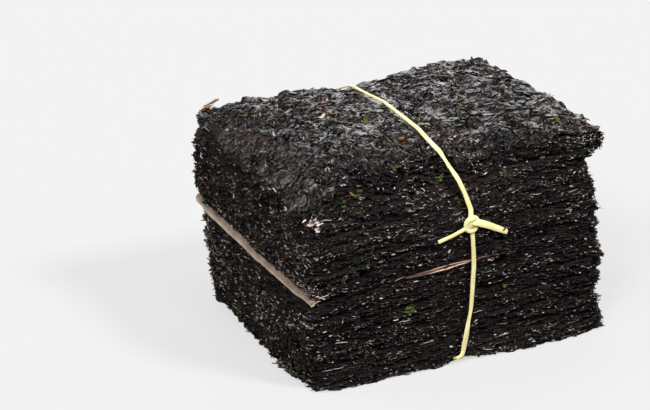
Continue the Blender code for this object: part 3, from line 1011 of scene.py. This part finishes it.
def draped_flakes(packet, path, seed, count, template, long, narrow, thick, lift, curl, **shares):
    """Scraps pressed onto the top sheet: they follow its relief, with their rims a little up or down."""
    rng = np.random.default_rng(seed)
    centres = top_spots(packet, count, rng, path)
    count = len(centres)
    turns = flow(centres) + 0.7 * rng.normal(size=count)
    sizes = flake_sizes(rng, count, long, narrow)
    tone = tones(centres, rng, **shares)
    mesh, form = template
    flat_x, flat_y = torn_outline(form, sizes, rng, 0.45)
    cos, sin = np.cos(turns)[:, None], np.sin(turns)[:, None]
    x = centres[:, None, 0] + flat_x * cos - flat_y * sin
    y = centres[:, None, 1] + flat_x * sin + flat_y * cos
    along, across, up = form.T[:, None]
    rolls = rng.uniform(-0.4, 1.0, (count, 2))
    rise = curl * (rolls[:, :1] * (along**2 + across**2) + 0.7 * rolls[:, 1:] * along * np.abs(along))
    own = rng.uniform(0.3, 1.0, (count, 1)) * lift
    return tinted(mesh, stacked(x, y, top_height(packet, x, y) + own + rise + up * thick), tone)


def top_spots(packet, count, rng, path):
    """Random places over the top sheet, clear of the straw."""
    out, edge = ply_edges(packet, SHEET_LAYER + TOP_SEED, (1.0,))
    along, across = rng.uniform(-1.0, 1.0, (2, count))
    x, y = sheet_places(packet.pile, out[0] - 1.0 * MM, edge[0], along, across)
    places = stacked(x, y, top_height(packet, x, y))
    return places[clear_of(path, places, TOP_GAP)]


def flow(centres):
    """The way that the matted shreds lie on the top: mostly along the bundle, in long swirls."""
    return bumps(centres[:, 0], centres[:, 1], 0.0, (1.1, 30.0, 1.0, 71), (0.8, 9.0, 1.0, 72))


def top_patches(packet, path):
    """Larger scraps of film, smooth and draped."""
    size = {"long": (5.0, 0.60, 0.8), "narrow": (0.25, 0.65), "thick": FILM_THICK}
    drape = {"lift": 0.35 * MM, "curl": 0.6 * MM, "rust_and_glow": 0.002}
    patches = draped_flakes(packet, path, SEED, TOP_PATCHES, flake_template(12, 4), **size, **drape)
    patches.shade_smooth()
    return patches


def top_shreds(packet, path):
    """Narrow shreds matted all over the top."""
    size = {"long": (4.0, 0.30, 0.5), "narrow": (0.12, 0.45), "thick": MATTED_THICK}
    # A few pale shreds are painted glints.
    drape = {"lift": 0.5 * MM, "curl": 0.5 * MM, "pale": 0.03, "rust_and_glow": 0.006}
    return draped_flakes(packet, path, SEED + 1, TOP_SHREDS, flake_template(8, 2), **size, **drape)


def side_spots(pile, packets, direction, count, rng, path, gap):
    """Random places on the plies' rims on one side, clear of the straw, with the outward normals."""
    stations = pile.facing(direction, SHRED_FACING)
    rims = np.concatenate([packet.rim[:, stations] for packet in packets])
    bulge = np.concatenate([packet.bulge[:, stations] for packet in packets]) / MM
    retreat = np.concatenate([np.tile(packet.retreat[stations], (PLIES, 1)) for packet in packets])
    slope = retreat / (PLIES * PLY_STEP)
    weight = ((0.04 + eased(-1.0, 1.4, bulge)) * (1.0 + 2.5 * slope)).ravel()
    picked = rng.choice(len(weight), count, p=weight / weight.sum())
    centres = rims.reshape(-1, 3)[picked]
    normals = np.column_stack((pile.normal[stations][picked % len(stations)], 0.8 * slope.ravel()[picked]))
    kept = clear_of(path, centres, gap)
    return centres[kept], normals[kept]


def step_scraps(packet, path):
    """Scraps of film that hang over the stepped sheets along the top's front edge."""
    rng = np.random.default_rng(SEED + 5)
    stations = packet.pile.facing((0.0, -1.0), SCRAP_FACING)
    rims = packet.rim[:, stations].reshape(-1, 3)
    weight = (0.2 + np.tile(packet.retreat[stations], (PLIES, 1)) / (PLIES * PLY_STEP)).ravel()
    weight = weight * (0.2 + np.repeat(np.arange(PLIES) / PLIES, len(stations)) ** 2)
    picked = rng.choice(len(rims), STEP_SCRAPS, p=weight / weight.sum())
    centres = rims[picked] + np.array((0.0, 0.3, 0.6)) * MM
    centres = centres[clear_of(path, centres, TOP_GAP)]
    count = len(centres)
    facing = np.array((0.0, -0.55, 1.0)) + 0.35 * rng.normal(size=(count, 3))
    turns = flow(centres) + 0.5 * rng.normal(size=count)
    grains = stacked(np.cos(turns), np.sin(turns), np.zeros(count))
    sizes = flake_sizes(rng, count, (3.5, 0.34, 0.5), (0.25, 0.55))
    # Pale scraps are painted glints.
    tone = tones(centres, rng, pale=0.28, rust_and_glow=0.01, moss=0.5)
    cut = {"thick": FILM_THICK, "bend": 0.3, "torn": 0.5}
    return flakes(flake_template(10, 3), centres, facing, grains, sizes, rng, tone, **cut)


def side_shreds(pile, packets, direction, count, seed, path):
    """Torn bits along the plies' edges of one side, tilted every way so that some catch the light; many are
    pale, as painted glints.
    """
    rng = np.random.default_rng(seed)
    centres, normals = side_spots(pile, packets, direction, count, rng, path, SIDE_GAP)
    count = len(centres)
    end = abs(direction[0])
    level = unit(np.cross(normals, UP))
    grains = level + UP * (0.12 + 0.26 * end) * rng.normal(size=(count, 1))
    grains = grains + normals * 0.35 * rng.normal(size=(count, 1))
    facing = normals + UP * (0.7 + 0.7 * rng.normal(size=(count, 1))) + 0.45 * rng.normal(size=(count, 3))
    sizes = flake_sizes(rng, count, (3.0, 0.26, 0.35), (0.18, 0.50 - 0.14 * end), 1.0 + 0.25 * end)
    centres = centres + normals * rng.uniform(-0.5, 0.4, (count, 1)) * MM
    centres[:, 2] = np.maximum(centres[:, 2], 1.2 * MM)
    # Pale shreds are painted glints.
    tone = tones(centres, rng, pale=0.46 + 0.10 * end, rust_and_glow=0.004, moss=0.60 - 0.18 * end)
    cut = {"thick": FILM_THICK, "bend": 0.16, "torn": 0.35}
    return flakes(flake_template(8, 2), centres, facing, grains, sizes, rng, tone, **cut)


def edge_threads(pile, packets, path):
    """Narrow shreds that stick out of the sides."""
    rng = np.random.default_rng(SEED + 2)
    spots = [
        side_spots(pile, packets, direction, count, rng, path, THREAD_GAP)
        for (_, direction, _), count in zip(SIDES, THREADS)
    ]
    centres, normals = (np.concatenate(rows) for rows in zip(*spots))
    normals = normals * (1.0, 1.0, 0.0)
    count = len(centres)
    level = np.cross(normals, UP)
    grains = normals * rng.uniform(0.2, 1.0, (count, 1)) + level * rng.normal(size=(count, 1))
    grains = grains + 0.4 * UP * rng.normal(size=(count, 1))
    facing = np.cross(grains, level + 0.4 * rng.normal(size=(count, 3)))
    long = (0.8 + 2.0 * rng.uniform(0.0, 1.0, count) ** 1.6) * MM
    sizes = stacked(long, rng.uniform(0.12, 0.50, count) * MM)
    centres = centres + unit(grains) * (0.45 * long)[:, None]
    centres[:, 2] = np.maximum(centres[:, 2], 2.0 * MM)
    # Many threads are orange-brown, a painted glow of light shining through thin shreds at the sides; a few
    # pale ones are painted glints.
    tone = tones(centres, rng, pale=0.06, rust_and_glow=0.30, moss=0.35)
    cut = {"thick": THREAD_THICK, "bend": 0.4, "torn": 0.3}
    return flakes(flake_template(6, 3), centres, facing, grains, sizes, rng, tone, **cut)


def rim_strips(pile, packets, path):
    """Long thin edges of sheets that stand a little proud and catch the light; many are pale, as painted
    glints.
    """
    rng = np.random.default_rng(SEED + 3)
    mesh, station, turn = tube_template(STRIP_STATIONS, 4)
    rims = np.concatenate([packet.rim for packet in packets])
    near = np.concatenate([pile.facing(direction, STRIP_FACING) for direction in ((0.0, -1.0), (-1.0, 0.0))])
    layers = rng.integers(0, len(rims), STRIPS)
    runs = (rng.choice(near, STRIPS)[:, None] + np.arange(STRIP_STATIONS)) % len(pile.base)
    middle = rims[layers[:, None], runs]
    kept = clear_of(path, middle.reshape(-1, 3), SIDE_GAP).reshape(runs.shape).all(axis=1)
    middle, runs = middle[kept], runs[kept]
    count = len(middle)
    soft = softened(middle.transpose(1, 0, 2).reshape(STRIP_STATIONS, -1), 3, False)
    middle = soft.reshape(STRIP_STATIONS, count, 3).transpose(1, 0, 2)
    outward = np.concatenate((pile.normal[runs], np.zeros((count, STRIP_STATIONS, 1))), axis=-1)
    taper = np.sin(math.pi * (np.arange(STRIP_STATIONS) + 0.5) / STRIP_STATIONS) ** 0.7
    thick = rng.uniform(0.10, 0.26, (count, 1)) * taper * MM
    reach = 0.55 * MM + thick[:, station] * 1.6 * np.cos(turn)
    places = middle[:, station] + outward[:, station] * reach[..., None]
    places[..., 2] = np.maximum(places[..., 2] + thick[:, station] * np.sin(turn), FLAKE_LOWEST)
    # Pale strips are painted glints along the rims.
    return tinted(mesh, places, tones(middle[:, 0], rng, pale=0.4, rust_and_glow=0.03))


# Bits that stand out: place in millimetres, half length and half width, how many, and colour.
TOP_BITS = (
    ((-43.3, 17.2), 4.2, 2.2, 1, "pale"),
    ((-75.0, 44.0), 5.6, 0.7, 2, "straw"),
    ((-68.6, 49.4), 1.9, 0.6, 13, "green"),
    ((-50.8, 44.8), 1.7, 0.5, 9, "green"),
    ((-40.4, 45.3), 1.4, 0.5, 6, "green"),
    ((-48.9, -31.9), 1.5, 0.5, 9, "green"),
    ((-28.0, -45.2), 1.5, 0.5, 11, "green"),
    ((-15.4, -28.2), 2.0, 0.7, 3, "rust_and_glow"),
    ((67.5, -54.3), 1.8, 0.4, 9, "green"),
    ((97.0, -20.0), 2.2, 0.9, 4, "rust_and_glow"),
    ((98.0, -48.0), 2.4, 0.9, 4, "rust_and_glow"),
)
FRONT_BITS = (
    ((-31.8, 118.2), 2.0, 0.7, 4, "green"),
    ((-8.6, 112.5), 1.8, 0.6, 4, "green"),
    ((-33.2, 39.1), 2.6, 0.8, 9, "green"),
    ((30.3, 41.6), 1.8, 0.6, 4, "green"),
    ((-90.3, 100.4), 4.3, 1.4, 16, "white"),
)
CORNER_BITS = (
    ((-89.5, 73.0, 128.0), 4.8, 1.7, 3, "rust_and_glow"),
    ((-102.0, 71.0, 105.5), 2.4, 1.1, 2, "rust_and_glow"),
    ((-97.0, -79.6, 58.2), 2.6, 0.8, 3, "cream"),
    ((-92.5, -79.8, 59.8), 2.8, 0.8, 4, "cream"),
)
BIT_COLOURS = {
    "white": (1.4, 0.0, 0.0),
    "pale": (0.9, 0.0, 0.0),
    "straw": (0.30, 0.6, 0.0),
    "cream": (0.55, 0.5, 0.0),
    "green": (0.0, 0.0, 1.0),
    "rust_and_glow": (0.0, 0.8, 0.0),
}


def landed(packets, start, towards):
    """The first place on the packets' solids along a line, or its start where there is none."""
    hits = [packet.tree.ray_cast(Vector(start) * MM, Vector(towards)) for packet in packets]
    hits = [hit for hit in hits if hit[0] is not None]
    return np.array(min(hits, key=lambda hit: hit[3])[0]) if hits else np.array(start) * MM


def standing_bits(packets):
    """The green, orange-brown and pale bits that show most; the orange-brown ones at the rims are partly a
    painted glow of light shining through them.
    """
    rng = np.random.default_rng(SEED + 4)
    bits = []
    for (x, y), *bit in TOP_BITS:
        bits.append((landed(packets, (x, y, 200.0), -UP), (0.0, -0.2, 1.0), *bit))
    for (x, z), *bit in FRONT_BITS:
        bits.append((landed(packets, (x, -200.0, z), (0.0, 1.0, 0.0)), (0.0, -1.0, 0.5), *bit))
    for place, *bit in CORNER_BITS:
        bits.append((np.array(place) * MM, (-0.2, -0.7, 0.7), *bit))
    centres, facing, sizes, colours = [], [], [], []
    for place, normal, long, wide, copies, colour in bits:
        spread = 0.5 * long * (copies > 2) * MM
        normal = unit(np.array(normal))
        for _ in range(copies):
            away = rng.normal(size=3) * spread
            away = away - normal * (away @ normal)
            centres.append(place + away + normal * rng.uniform(0.4, 1.2) * MM)
            facing.append(normal + 0.4 * rng.normal(size=3))
            sizes.append(np.array((long, wide)) * rng.uniform(0.6, 1.1) * MM)
            colours.append(BIT_COLOURS[colour])
    centres, facing, sizes = np.array(centres), np.array(facing), np.array(sizes)
    pale, rust_and_glow, green = np.array(colours).T * rng.uniform(0.6, 1.0, len(centres))
    tone = {"shade": np.full(len(centres), 0.5), "pale": pale, "rust_and_glow": rust_and_glow, "green": green}
    grains = np.array((1.0, 0.0, 0.1)) + 0.32 * rng.normal(size=centres.shape)
    cut = {"thick": THREAD_THICK, "bend": 0.35, "torn": 0.4}
    return flakes(flake_template(10, 4), centres, facing, grains, sizes, rng, tone, **cut)


# The paper slip.

SLIP_GRID = (110, 60)
SLIP_LEVELS = 6
SLIP_BACK = 3.2 * MM

# How much of the slip shows on the front, and how far it stands open there in millimetres, by place along it.
SLIP_SHOWS = (
    (-100.0, 1.0), (-94.0, 1.0), (-91.0, 0.0), (-42.0, 0.0),
    (-34.0, 1.0), (20.0, 1.0), (32.0, 0.5), (88.0, 0.0),
)
SLIP_OPEN = (
    (-98.0, 3.2), (-92.0, 0.6), (-40.0, 0.3), (-28.0, 1.0), (-20.0, 1.5),
    (-10.0, 2.4), (-1.0, 1.4), (7.0, 0.7), (24.0, 0.3),
)


def slip_mesh(pile, below, above):
    """The folded slip: a round fold at the left, and two thin edges where it shows on the front."""
    mesh, along, across, level = slab_template(*SLIP_GRID, SLIP_LEVELS)
    x, y = sheet_places(pile, below.outline((1.0,))[0], np.zeros(len(pile.base)), along, across)
    share = level / SLIP_LEVELS
    fold = 1.0 - (2.0 * share - 1.0) ** 2
    left = np.clip(-along, 0.0, 1.0) ** 30
    front = np.clip(-across, 0.0, 1.0) ** 30
    shows = read_off(SLIP_SHOWS, x / MM)
    fray = 0.5 * wobble(x / MM / 3.0, share * 3.0, 0.0, 81) + 0.3 * wobble(x / MM / 1.1, share * 4.0, 0.0, 82)
    wave = bumps(0.0, y, 0.0, (0.35, 7.0, 1.0, 83)) + bumps(0.0, y, share * 2.0, (0.25, 2.5, 1.0, 84))
    proud = 1.0 - 0.55 * eased(10.0, -78.0, y / MM)
    x = x - left * proud * (1.7 * fold + 0.9 + wave) * MM
    lip = 1.8 * fold * (1.0 - left) - (1.0 + 0.5 * fray) * shows
    y = y + front * ((1.0 - shows) * SLIP_BACK + lip * MM)
    foot = pile.read_grid(below.high, x, y) + 0.05 * MM
    head = pile.read_grid(above.low, x, y) - 0.05 * MM
    pinch = bumps(x, y, 0.0, (0.14, 6.0, 1.0, 85)) - 0.62 * eased(30.0, -80.0, y / MM)
    thick = np.maximum(head - foot, 0.25 * MM) * (1.0 + left * (0.08 + pinch))
    thick = thick + (read_off(SLIP_OPEN, x / MM) * MM - thick) * front
    made = repeated(mesh, stacked(x, y, (foot + head) / 2.0 + thick * (share - 0.5))[None])
    set_shade(made, "shade", eased(0.78, 0.46, share) * (0.35 + 0.65 * left))
    # The front edge takes its own colours and painted shade: dark between its two lips and on the faces
    # behind them, and darker left of -15 mm and right of 6 mm along it.
    set_shade(made, "front_edge", np.clip(-across, 0.0, 1.0) ** 4 * (1.0 - left))
    groove_shade = 1.1 * fold + 1.3 * (1.0 - front) + 0.4 * fray
    groove_shade = groove_shade + eased(-15.0, -26.0, x / MM) + 0.8 * eased(6.0, 12.0, x / MM)
    set_shade(made, "groove_shade", np.clip(groove_shade, 0.0, 1.0))
    return crisp(made)


# The straw tie.


def strand_path(frame):
    """The middle of the straw, read off its solid from all round and bridged across the knot."""
    tree = tree_of(frame, "straw_tie")
    low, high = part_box("straw_tie")
    middle = Vector((0.0, 0.0, (low.z + high.z) / 2.0))
    angles = np.radians(np.arange(0.0, 360.0, SCAN_TURN))
    scan = np.arange(*SCAN_PLACES) * MM
    known = []
    places = []
    for angle in angles:
        direction = Vector((0.0, math.cos(angle), math.sin(angle)))
        hits = []
        for x in scan:
            start = middle + direction * SCAN_START + Vector((x, 0.0, 0.0))
            hit = tree.ray_cast(start, -direction, SCAN_REACH)[0]
            if hit is not None:
                hits.append(hit)
        if hits and hits[-1].x - hits[0].x < PLAIN_WIDTH:
            known.append(angle)
            places.append(tuple(sum(hits, Vector()) / len(hits) - direction * MIDDLE_DEPTH))
    return stacked(*(np.interp(angles, known, axis, period=2.0 * math.pi) for axis in zip(*places)))


def even_path(points, count, closed):
    """The same path at even steps."""
    if closed:
        points = np.vstack((points, points[:1]))
    run = np.concatenate(((0.0,), np.cumsum(np.linalg.norm(np.diff(points, axis=0), axis=1))))
    wanted = np.linspace(0.0, run[-1], count, endpoint=not closed)
    return stacked(*(np.interp(wanted, run, axis) for axis in points.T))


def smooth_path(points, count):
    """A smooth open path through a few points."""
    return even_path(softened(even_path(np.array(points), count, False), count // 3, False), count, False)


def strand_mesh(points, outward, widths, thicks, rolls, closed, seed):
    """A flattened strand with fine ribs along it. outward is the way that its flat side faces."""
    count = len(points)
    if closed:
        tangent = unit(np.roll(points, -1, axis=0) - np.roll(points, 1, axis=0))
        mesh, station, side = ring_template(count, STRAND_SIDES)
        turn = side / STRAND_SIDES * 2.0 * math.pi
    else:
        tangent = unit(np.gradient(points, axis=0))
        mesh, station, turn = tube_template(count, STRAND_SIDES)
    flat = unit(outward - tangent * np.sum(outward * tangent, axis=1, keepdims=True))
    across = np.cross(tangent, flat)
    face = flat * np.cos(rolls)[:, None] + across * np.sin(rolls)[:, None]
    edge = across * np.cos(rolls)[:, None] - flat * np.sin(rolls)[:, None]
    rib = 1.0 + 0.12 * wobble(np.cos(turn) * 2.6, np.sin(turn) * 2.6, station / 26.0, seed)
    wide = 0.5 * widths[station] * rib * np.cos(turn)
    deep = 0.5 * thicks[station] * rib * np.sign(np.sin(turn)) * np.abs(np.sin(turn)) ** 0.8
    places = points[station] + edge[station] * wide[:, None] + face[station] * deep[:, None]
    made = repeated(mesh, places[None])
    bm = bmesh.new()
    bm.from_mesh(made)
    bmesh.ops.recalc_face_normals(bm, faces=bm.faces[:])
    bm.to_mesh(made)
    bm.free()
    return made


# How wide the straw shows, in millimetres: on the front by height, and on the top by how far back.
FRONT_WIDTHS = (
    (0.0, 1.6), (4.0, 2.6), (11.0, 3.9), (18.0, 3.7), (25.0, 2.2), (30.0, 1.8), (36.0, 2.6), (51.0, 3.0),
    (79.0, 2.8), (87.0, 3.4), (96.0, 3.3), (105.0, 3.0), (113.0, 3.1), (117.0, 2.4), (120.0, 2.2),
    (123.0, 3.4), (127.0, 3.2),
)
TOP_WIDTHS = ((-50.0, 3.4), (-36.0, 3.0), (-20.0, 2.8), (-3.0, 2.5), (16.0, 2.2), (42.0, 2.0), (66.0, 1.9))
STRAW_WIDTH = 2.9

# The knot's strands, and those at the straw's foot: points in millimetres to the right, forwards and up.
RING = (
    (3.0, 0.6, -0.8), (4.0, 1.0, 1.4), (3.0, 1.5, 3.8), (0.2, 1.7, 4.7), (-2.9, 1.5, 3.6), (-4.4, 1.3, 0.5),
    (-3.3, 1.4, -2.6), (-0.5, 1.6, -3.8), (2.3, 1.5, -3.0), (3.4, 1.0, -0.8), (2.8, 0.4, 1.2),
)
RIGHT_TAIL = (
    (-1.6, 0.4, 1.8), (0.6, 1.8, 1.8), (3.6, 2.4, 1.2), (8.5, 2.6, -0.8), (16.0, 1.8, -4.6),
    (24.8, 0.7, -9.2),
)
LEFT_TAIL = ((0.4, 0.2, -0.4), (-2.6, 1.2, -1.2), (-5.4, 1.6, -1.7), (-12.0, 1.0, -4.4), (-22.4, 0.2, -7.4))
HOOK = ((0.0, 0.2, 2.8), (-0.4, 0.7, 0.8), (-2.0, 0.9, -0.5), (-4.4, 0.9, -0.9), (-6.8, 0.6, -0.7))
FIBRE = ((-0.8, 0.4, 1.2), (-0.9, 0.7, -0.4), (-0.8, 0.9, -2.2), (-1.1, 1.0, -3.4))


def loop_widths(loop):
    _, y, z = loop.T / MM
    above = np.where(z > 110.0, read_off(TOP_WIDTHS, y), STRAW_WIDTH)
    widths = np.where((y < -45.0) & (z > 1.5), read_off(FRONT_WIDTHS, z), above)
    return softened(widths[:, None], 6, True)[:, 0] * MM


def front_point(loop, height):
    """The loop's point on the front that is nearest a height."""
    return loop[np.argmin(np.abs(loop[:, 2] - height) + (loop[:, 1] > 0.0))]


def loose_strand(start, steps, count, widths, brown, seed):
    """A strand through a few steps from its start, brown at its tip where that is asked."""
    points = smooth_path(start + np.array(steps) * (1.0, -1.0, 1.0) * MM, count)
    wide = np.interp(np.linspace(0.0, 4.0, count), range(5), widths) * MM
    outward = np.tile((0.0, -1.0, 0.35), (count, 1))
    strand = strand_mesh(points, outward, wide, np.minimum(wide, 1.1 * MM), np.zeros(count), False, seed)
    places = np.array([vertex.co for vertex in strand.vertices])
    tip = eased(3.0 * MM, 1.2 * MM, np.linalg.norm(places - points[-1], axis=1))
    set_shade(strand, "shade", brown * tip)
    return strand


def knot_body(knot):
    """The knot's lump, with painted shade at its front where it shows through the ring's eye."""
    mesh, form = flake_template(20, 12)
    size = np.array(KNOT_SIZE) * MM
    uneven = wobble(*(2.0 * form.T), 58)[:, None]
    body = repeated(mesh, (knot + form * size * (1.0 + 0.06 * uneven))[None])
    x, y, z = (form * size).T / MM
    # Painted shade on the body where the ring's eye shows it.
    eye = np.exp(-(((x - 0.3) / 0.9) ** 2) - (((z + 0.2) / 1.1) ** 2))
    set_shade(body, "shade", np.clip(1.3 * eye, 0.0, 1.0) * (y < 0.0))
    return body


def straw_tie(loop):
    """The loop, its knot and its two cut ends, and the hook and the fibre at its foot."""
    low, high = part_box("straw_tie")
    outward = loop - (0.0, 0.0, (low.z + high.z) / 2.0)
    outward[:, 0] = 0.0
    run = np.arange(len(loop)) / len(loop)
    widths = loop_widths(loop) * (1.0 + 0.05 * wobble(run * 90.0, 0.0, 0.0, 52))
    thicks = STRAW_THICK * (1.0 + 0.12 * wobble(run * 60.0, 0.0, 0.0, 53))
    turned = 0.9 * np.exp(-(((loop[:, 2] / MM - 27.0) / 5.0) ** 2))
    rolls = np.where(loop[:, 1] < -60.0 * MM, turned, 0.0)
    strand = strand_mesh(loop, outward, widths, thicks, rolls, True, 54)
    set_shade(strand, "shade", np.zeros(len(strand.vertices)))

    foot = front_point(loop, LOW_END)
    knot = np.array((KNOT_PLACE[0], front_point(loop, KNOT_PLACE[1])[1] - 0.6 * MM, KNOT_PLACE[1]))
    strands = [
        strand,
        loose_strand(knot, RING, 60, (3.2, 3.4, 3.4, 3.2, 2.8), 0.0, 55),
        loose_strand(knot, RIGHT_TAIL, 60, (3.6, 4.4, 4.1, 3.7, 3.2), 0.0, 56),
        loose_strand(knot, LEFT_TAIL, 54, (2.2, 2.4, 2.3, 2.2, 2.1), 0.0, 57),
        loose_strand(foot, HOOK, 30, (2.4, 2.2, 2.0, 1.8, 1.4), 1.0, 59),
        loose_strand(foot, FIBRE, 12, (0.4, 0.4, 0.4, 0.4, 0.3), 0.0, 60),
        knot_body(knot),
    ]
    return crisp(joined(strands))


# Stage.

# Lights: name, the way towards each, strength, and spread in degrees.
LIGHTS = (
    ("overhead", (0.0, -0.15, 1.0), 0.8, 20.0),
    ("backdrop", (0.42, 0.83, 0.27), 1.05, 54.0),
    ("back", (0.46, 0.78, 0.36), 0.28, 22.0),
    ("front_right", (0.42, -0.55, 0.70), 2.8, 14.0),
    ("front_left", (-0.60, -0.50, 0.65), 2.2, 16.0),
    ("left_back", (-0.50, 0.45, 0.70), 0.7, 20.0),
    ("left", (-0.90, -0.15, 0.40), 0.58, 34.0),
)


def set_camera():
    data = bpy.data.cameras.new("camera")
    data.sensor_width = SENSOR_WIDTH
    data.lens = SENSOR_WIDTH * FOCAL_PIXELS / PICTURE[0]
    data.clip_start = 0.05
    data.clip_end = 50.0
    camera = linked("camera", data)
    flat = math.cos(CAMERA_ELEVATION)
    right, forward = math.sin(CAMERA_AZIMUTH) * flat, -math.cos(CAMERA_AZIMUTH) * flat
    back = Vector((right, forward, math.sin(CAMERA_ELEVATION)))
    camera.location = CAMERA_TARGET + back * CAMERA_DISTANCE
    camera.rotation_euler = (-back).to_track_quat("-Z", "Y").to_euler()
    bpy.context.scene.camera = camera


def floor_finish():
    """A pale table, lit from below for the camera alone, so that it stays even and its shadows faint."""
    finish = Finish("floor")
    finish.set("Roughness", 1.0)
    finish.set("Specular IOR Level", 0.0)
    seen = finish.add("ShaderNodeLightPath", output="Is Camera Ray")
    finish.set("Base Color", finish.mix(seen, (0.06, 0.06, 0.06), (0.16, 0.16, 0.16)))
    finish.set("Emission Color", finish.mix(seen, (0.0, 0.0, 0.0), (1.0, 1.0, 1.0)))
    finish.set("Emission Strength", FLOOR_GLOW)
    return finish.material


def set_stage():
    bm = bmesh.new()
    bmesh.ops.create_grid(bm, x_segments=2, y_segments=2, size=FLOOR_SIZE)
    bmesh.ops.translate(bm, verts=bm.verts[:], vec=(0.0, 0.0, -0.05 * MM))
    mesh = bpy.data.meshes.new("floor")
    bm.to_mesh(mesh)
    bm.free()
    mesh.materials.append(floor_finish())
    floor = linked("floor", mesh)
    world = bpy.data.worlds.new("world")
    world.use_nodes = True
    background = world.node_tree.nodes["Background"]
    background.inputs["Color"].default_value = (1.0, 1.0, 1.0, 1.0)
    background.inputs["Strength"].default_value = WORLD_LIGHT
    bpy.context.scene.world = world
    for name, towards, strength, spread in LIGHTS:
        data = bpy.data.lights.new(name, "SUN")
        data.energy = strength
        data.angle = math.radians(spread)
        linked(name, data).rotation_euler = Vector(towards).to_track_quat("Z", "Y").to_euler()
    bpy.context.scene.view_settings.view_transform = "Standard"


def main():
    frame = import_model()
    set_camera()
    set_stage()
    names = sorted(name for name in frame["nodes"] if name.startswith("packet_"))
    pile = Pile(names)
    packets = read_packets(frame, names, pile)
    half = len(packets) // 2
    close_gap(pile, packets[half - 1], packets[half])
    step_back(packets[-1])
    packets[-1].fill = TOP_FILL
    loop = softened(even_path(strand_path(frame), STRAND_STATIONS, True), 3, True)
    laver = laver_finish("laver_edges", **EDGE_LOOKS)
    film = laver_finish("laver_film", **FILM_LOOKS)
    scraps = laver_finish("laver_scraps", **SCRAP_LOOKS)

    ply_template = ring_template(len(pile.base), 3)
    core_template = slab_template(24, 18, 1)
    for number, packet in enumerate(packets):
        plies = packet_plies(packet, number * PLIES, ply_template)
        sheets = joined([plies, packet_core(packet, core_template)])
        piece(packet.node.replace("packet", "sheets"), sheets, laver, [packet.node])
    top = packets[-1]
    piece("top_sheet", whole_sheet(top, 1.0, TOP_THICK, TOP_GRID, TOP_SEED), film)
    piece("under_sheet", whole_sheet(packets[0], 0.0, UNDER_THICK, UNDER_GRID, UNDER_SEED), laver)
    piece("top_patches", top_patches(top, loop), film)
    piece("top_shreds", top_shreds(top, loop), film)
    piece("step_scraps", step_scraps(top, loop), laver)
    for number, ((side, direction, _), count) in enumerate(zip(SIDES, SHREDS)):
        shreds = side_shreds(pile, packets, direction, count, SEED + 10 + number, loop)
        piece(side + "_shreds", shreds, scraps)
    piece("edge_threads", edge_threads(pile, packets, loop), scraps)
    piece("rim_strips", rim_strips(pile, packets, loop), scraps)
    piece("standing_bits", standing_bits(packets), scraps)
    slip = slip_mesh(pile, packets[half - 1], packets[half])
    piece("paper_slip_folded", slip, slip_finish(), ["paper_slip"])
    piece("tie", straw_tie(loop), straw_finish(), ["straw_tie"])


main()
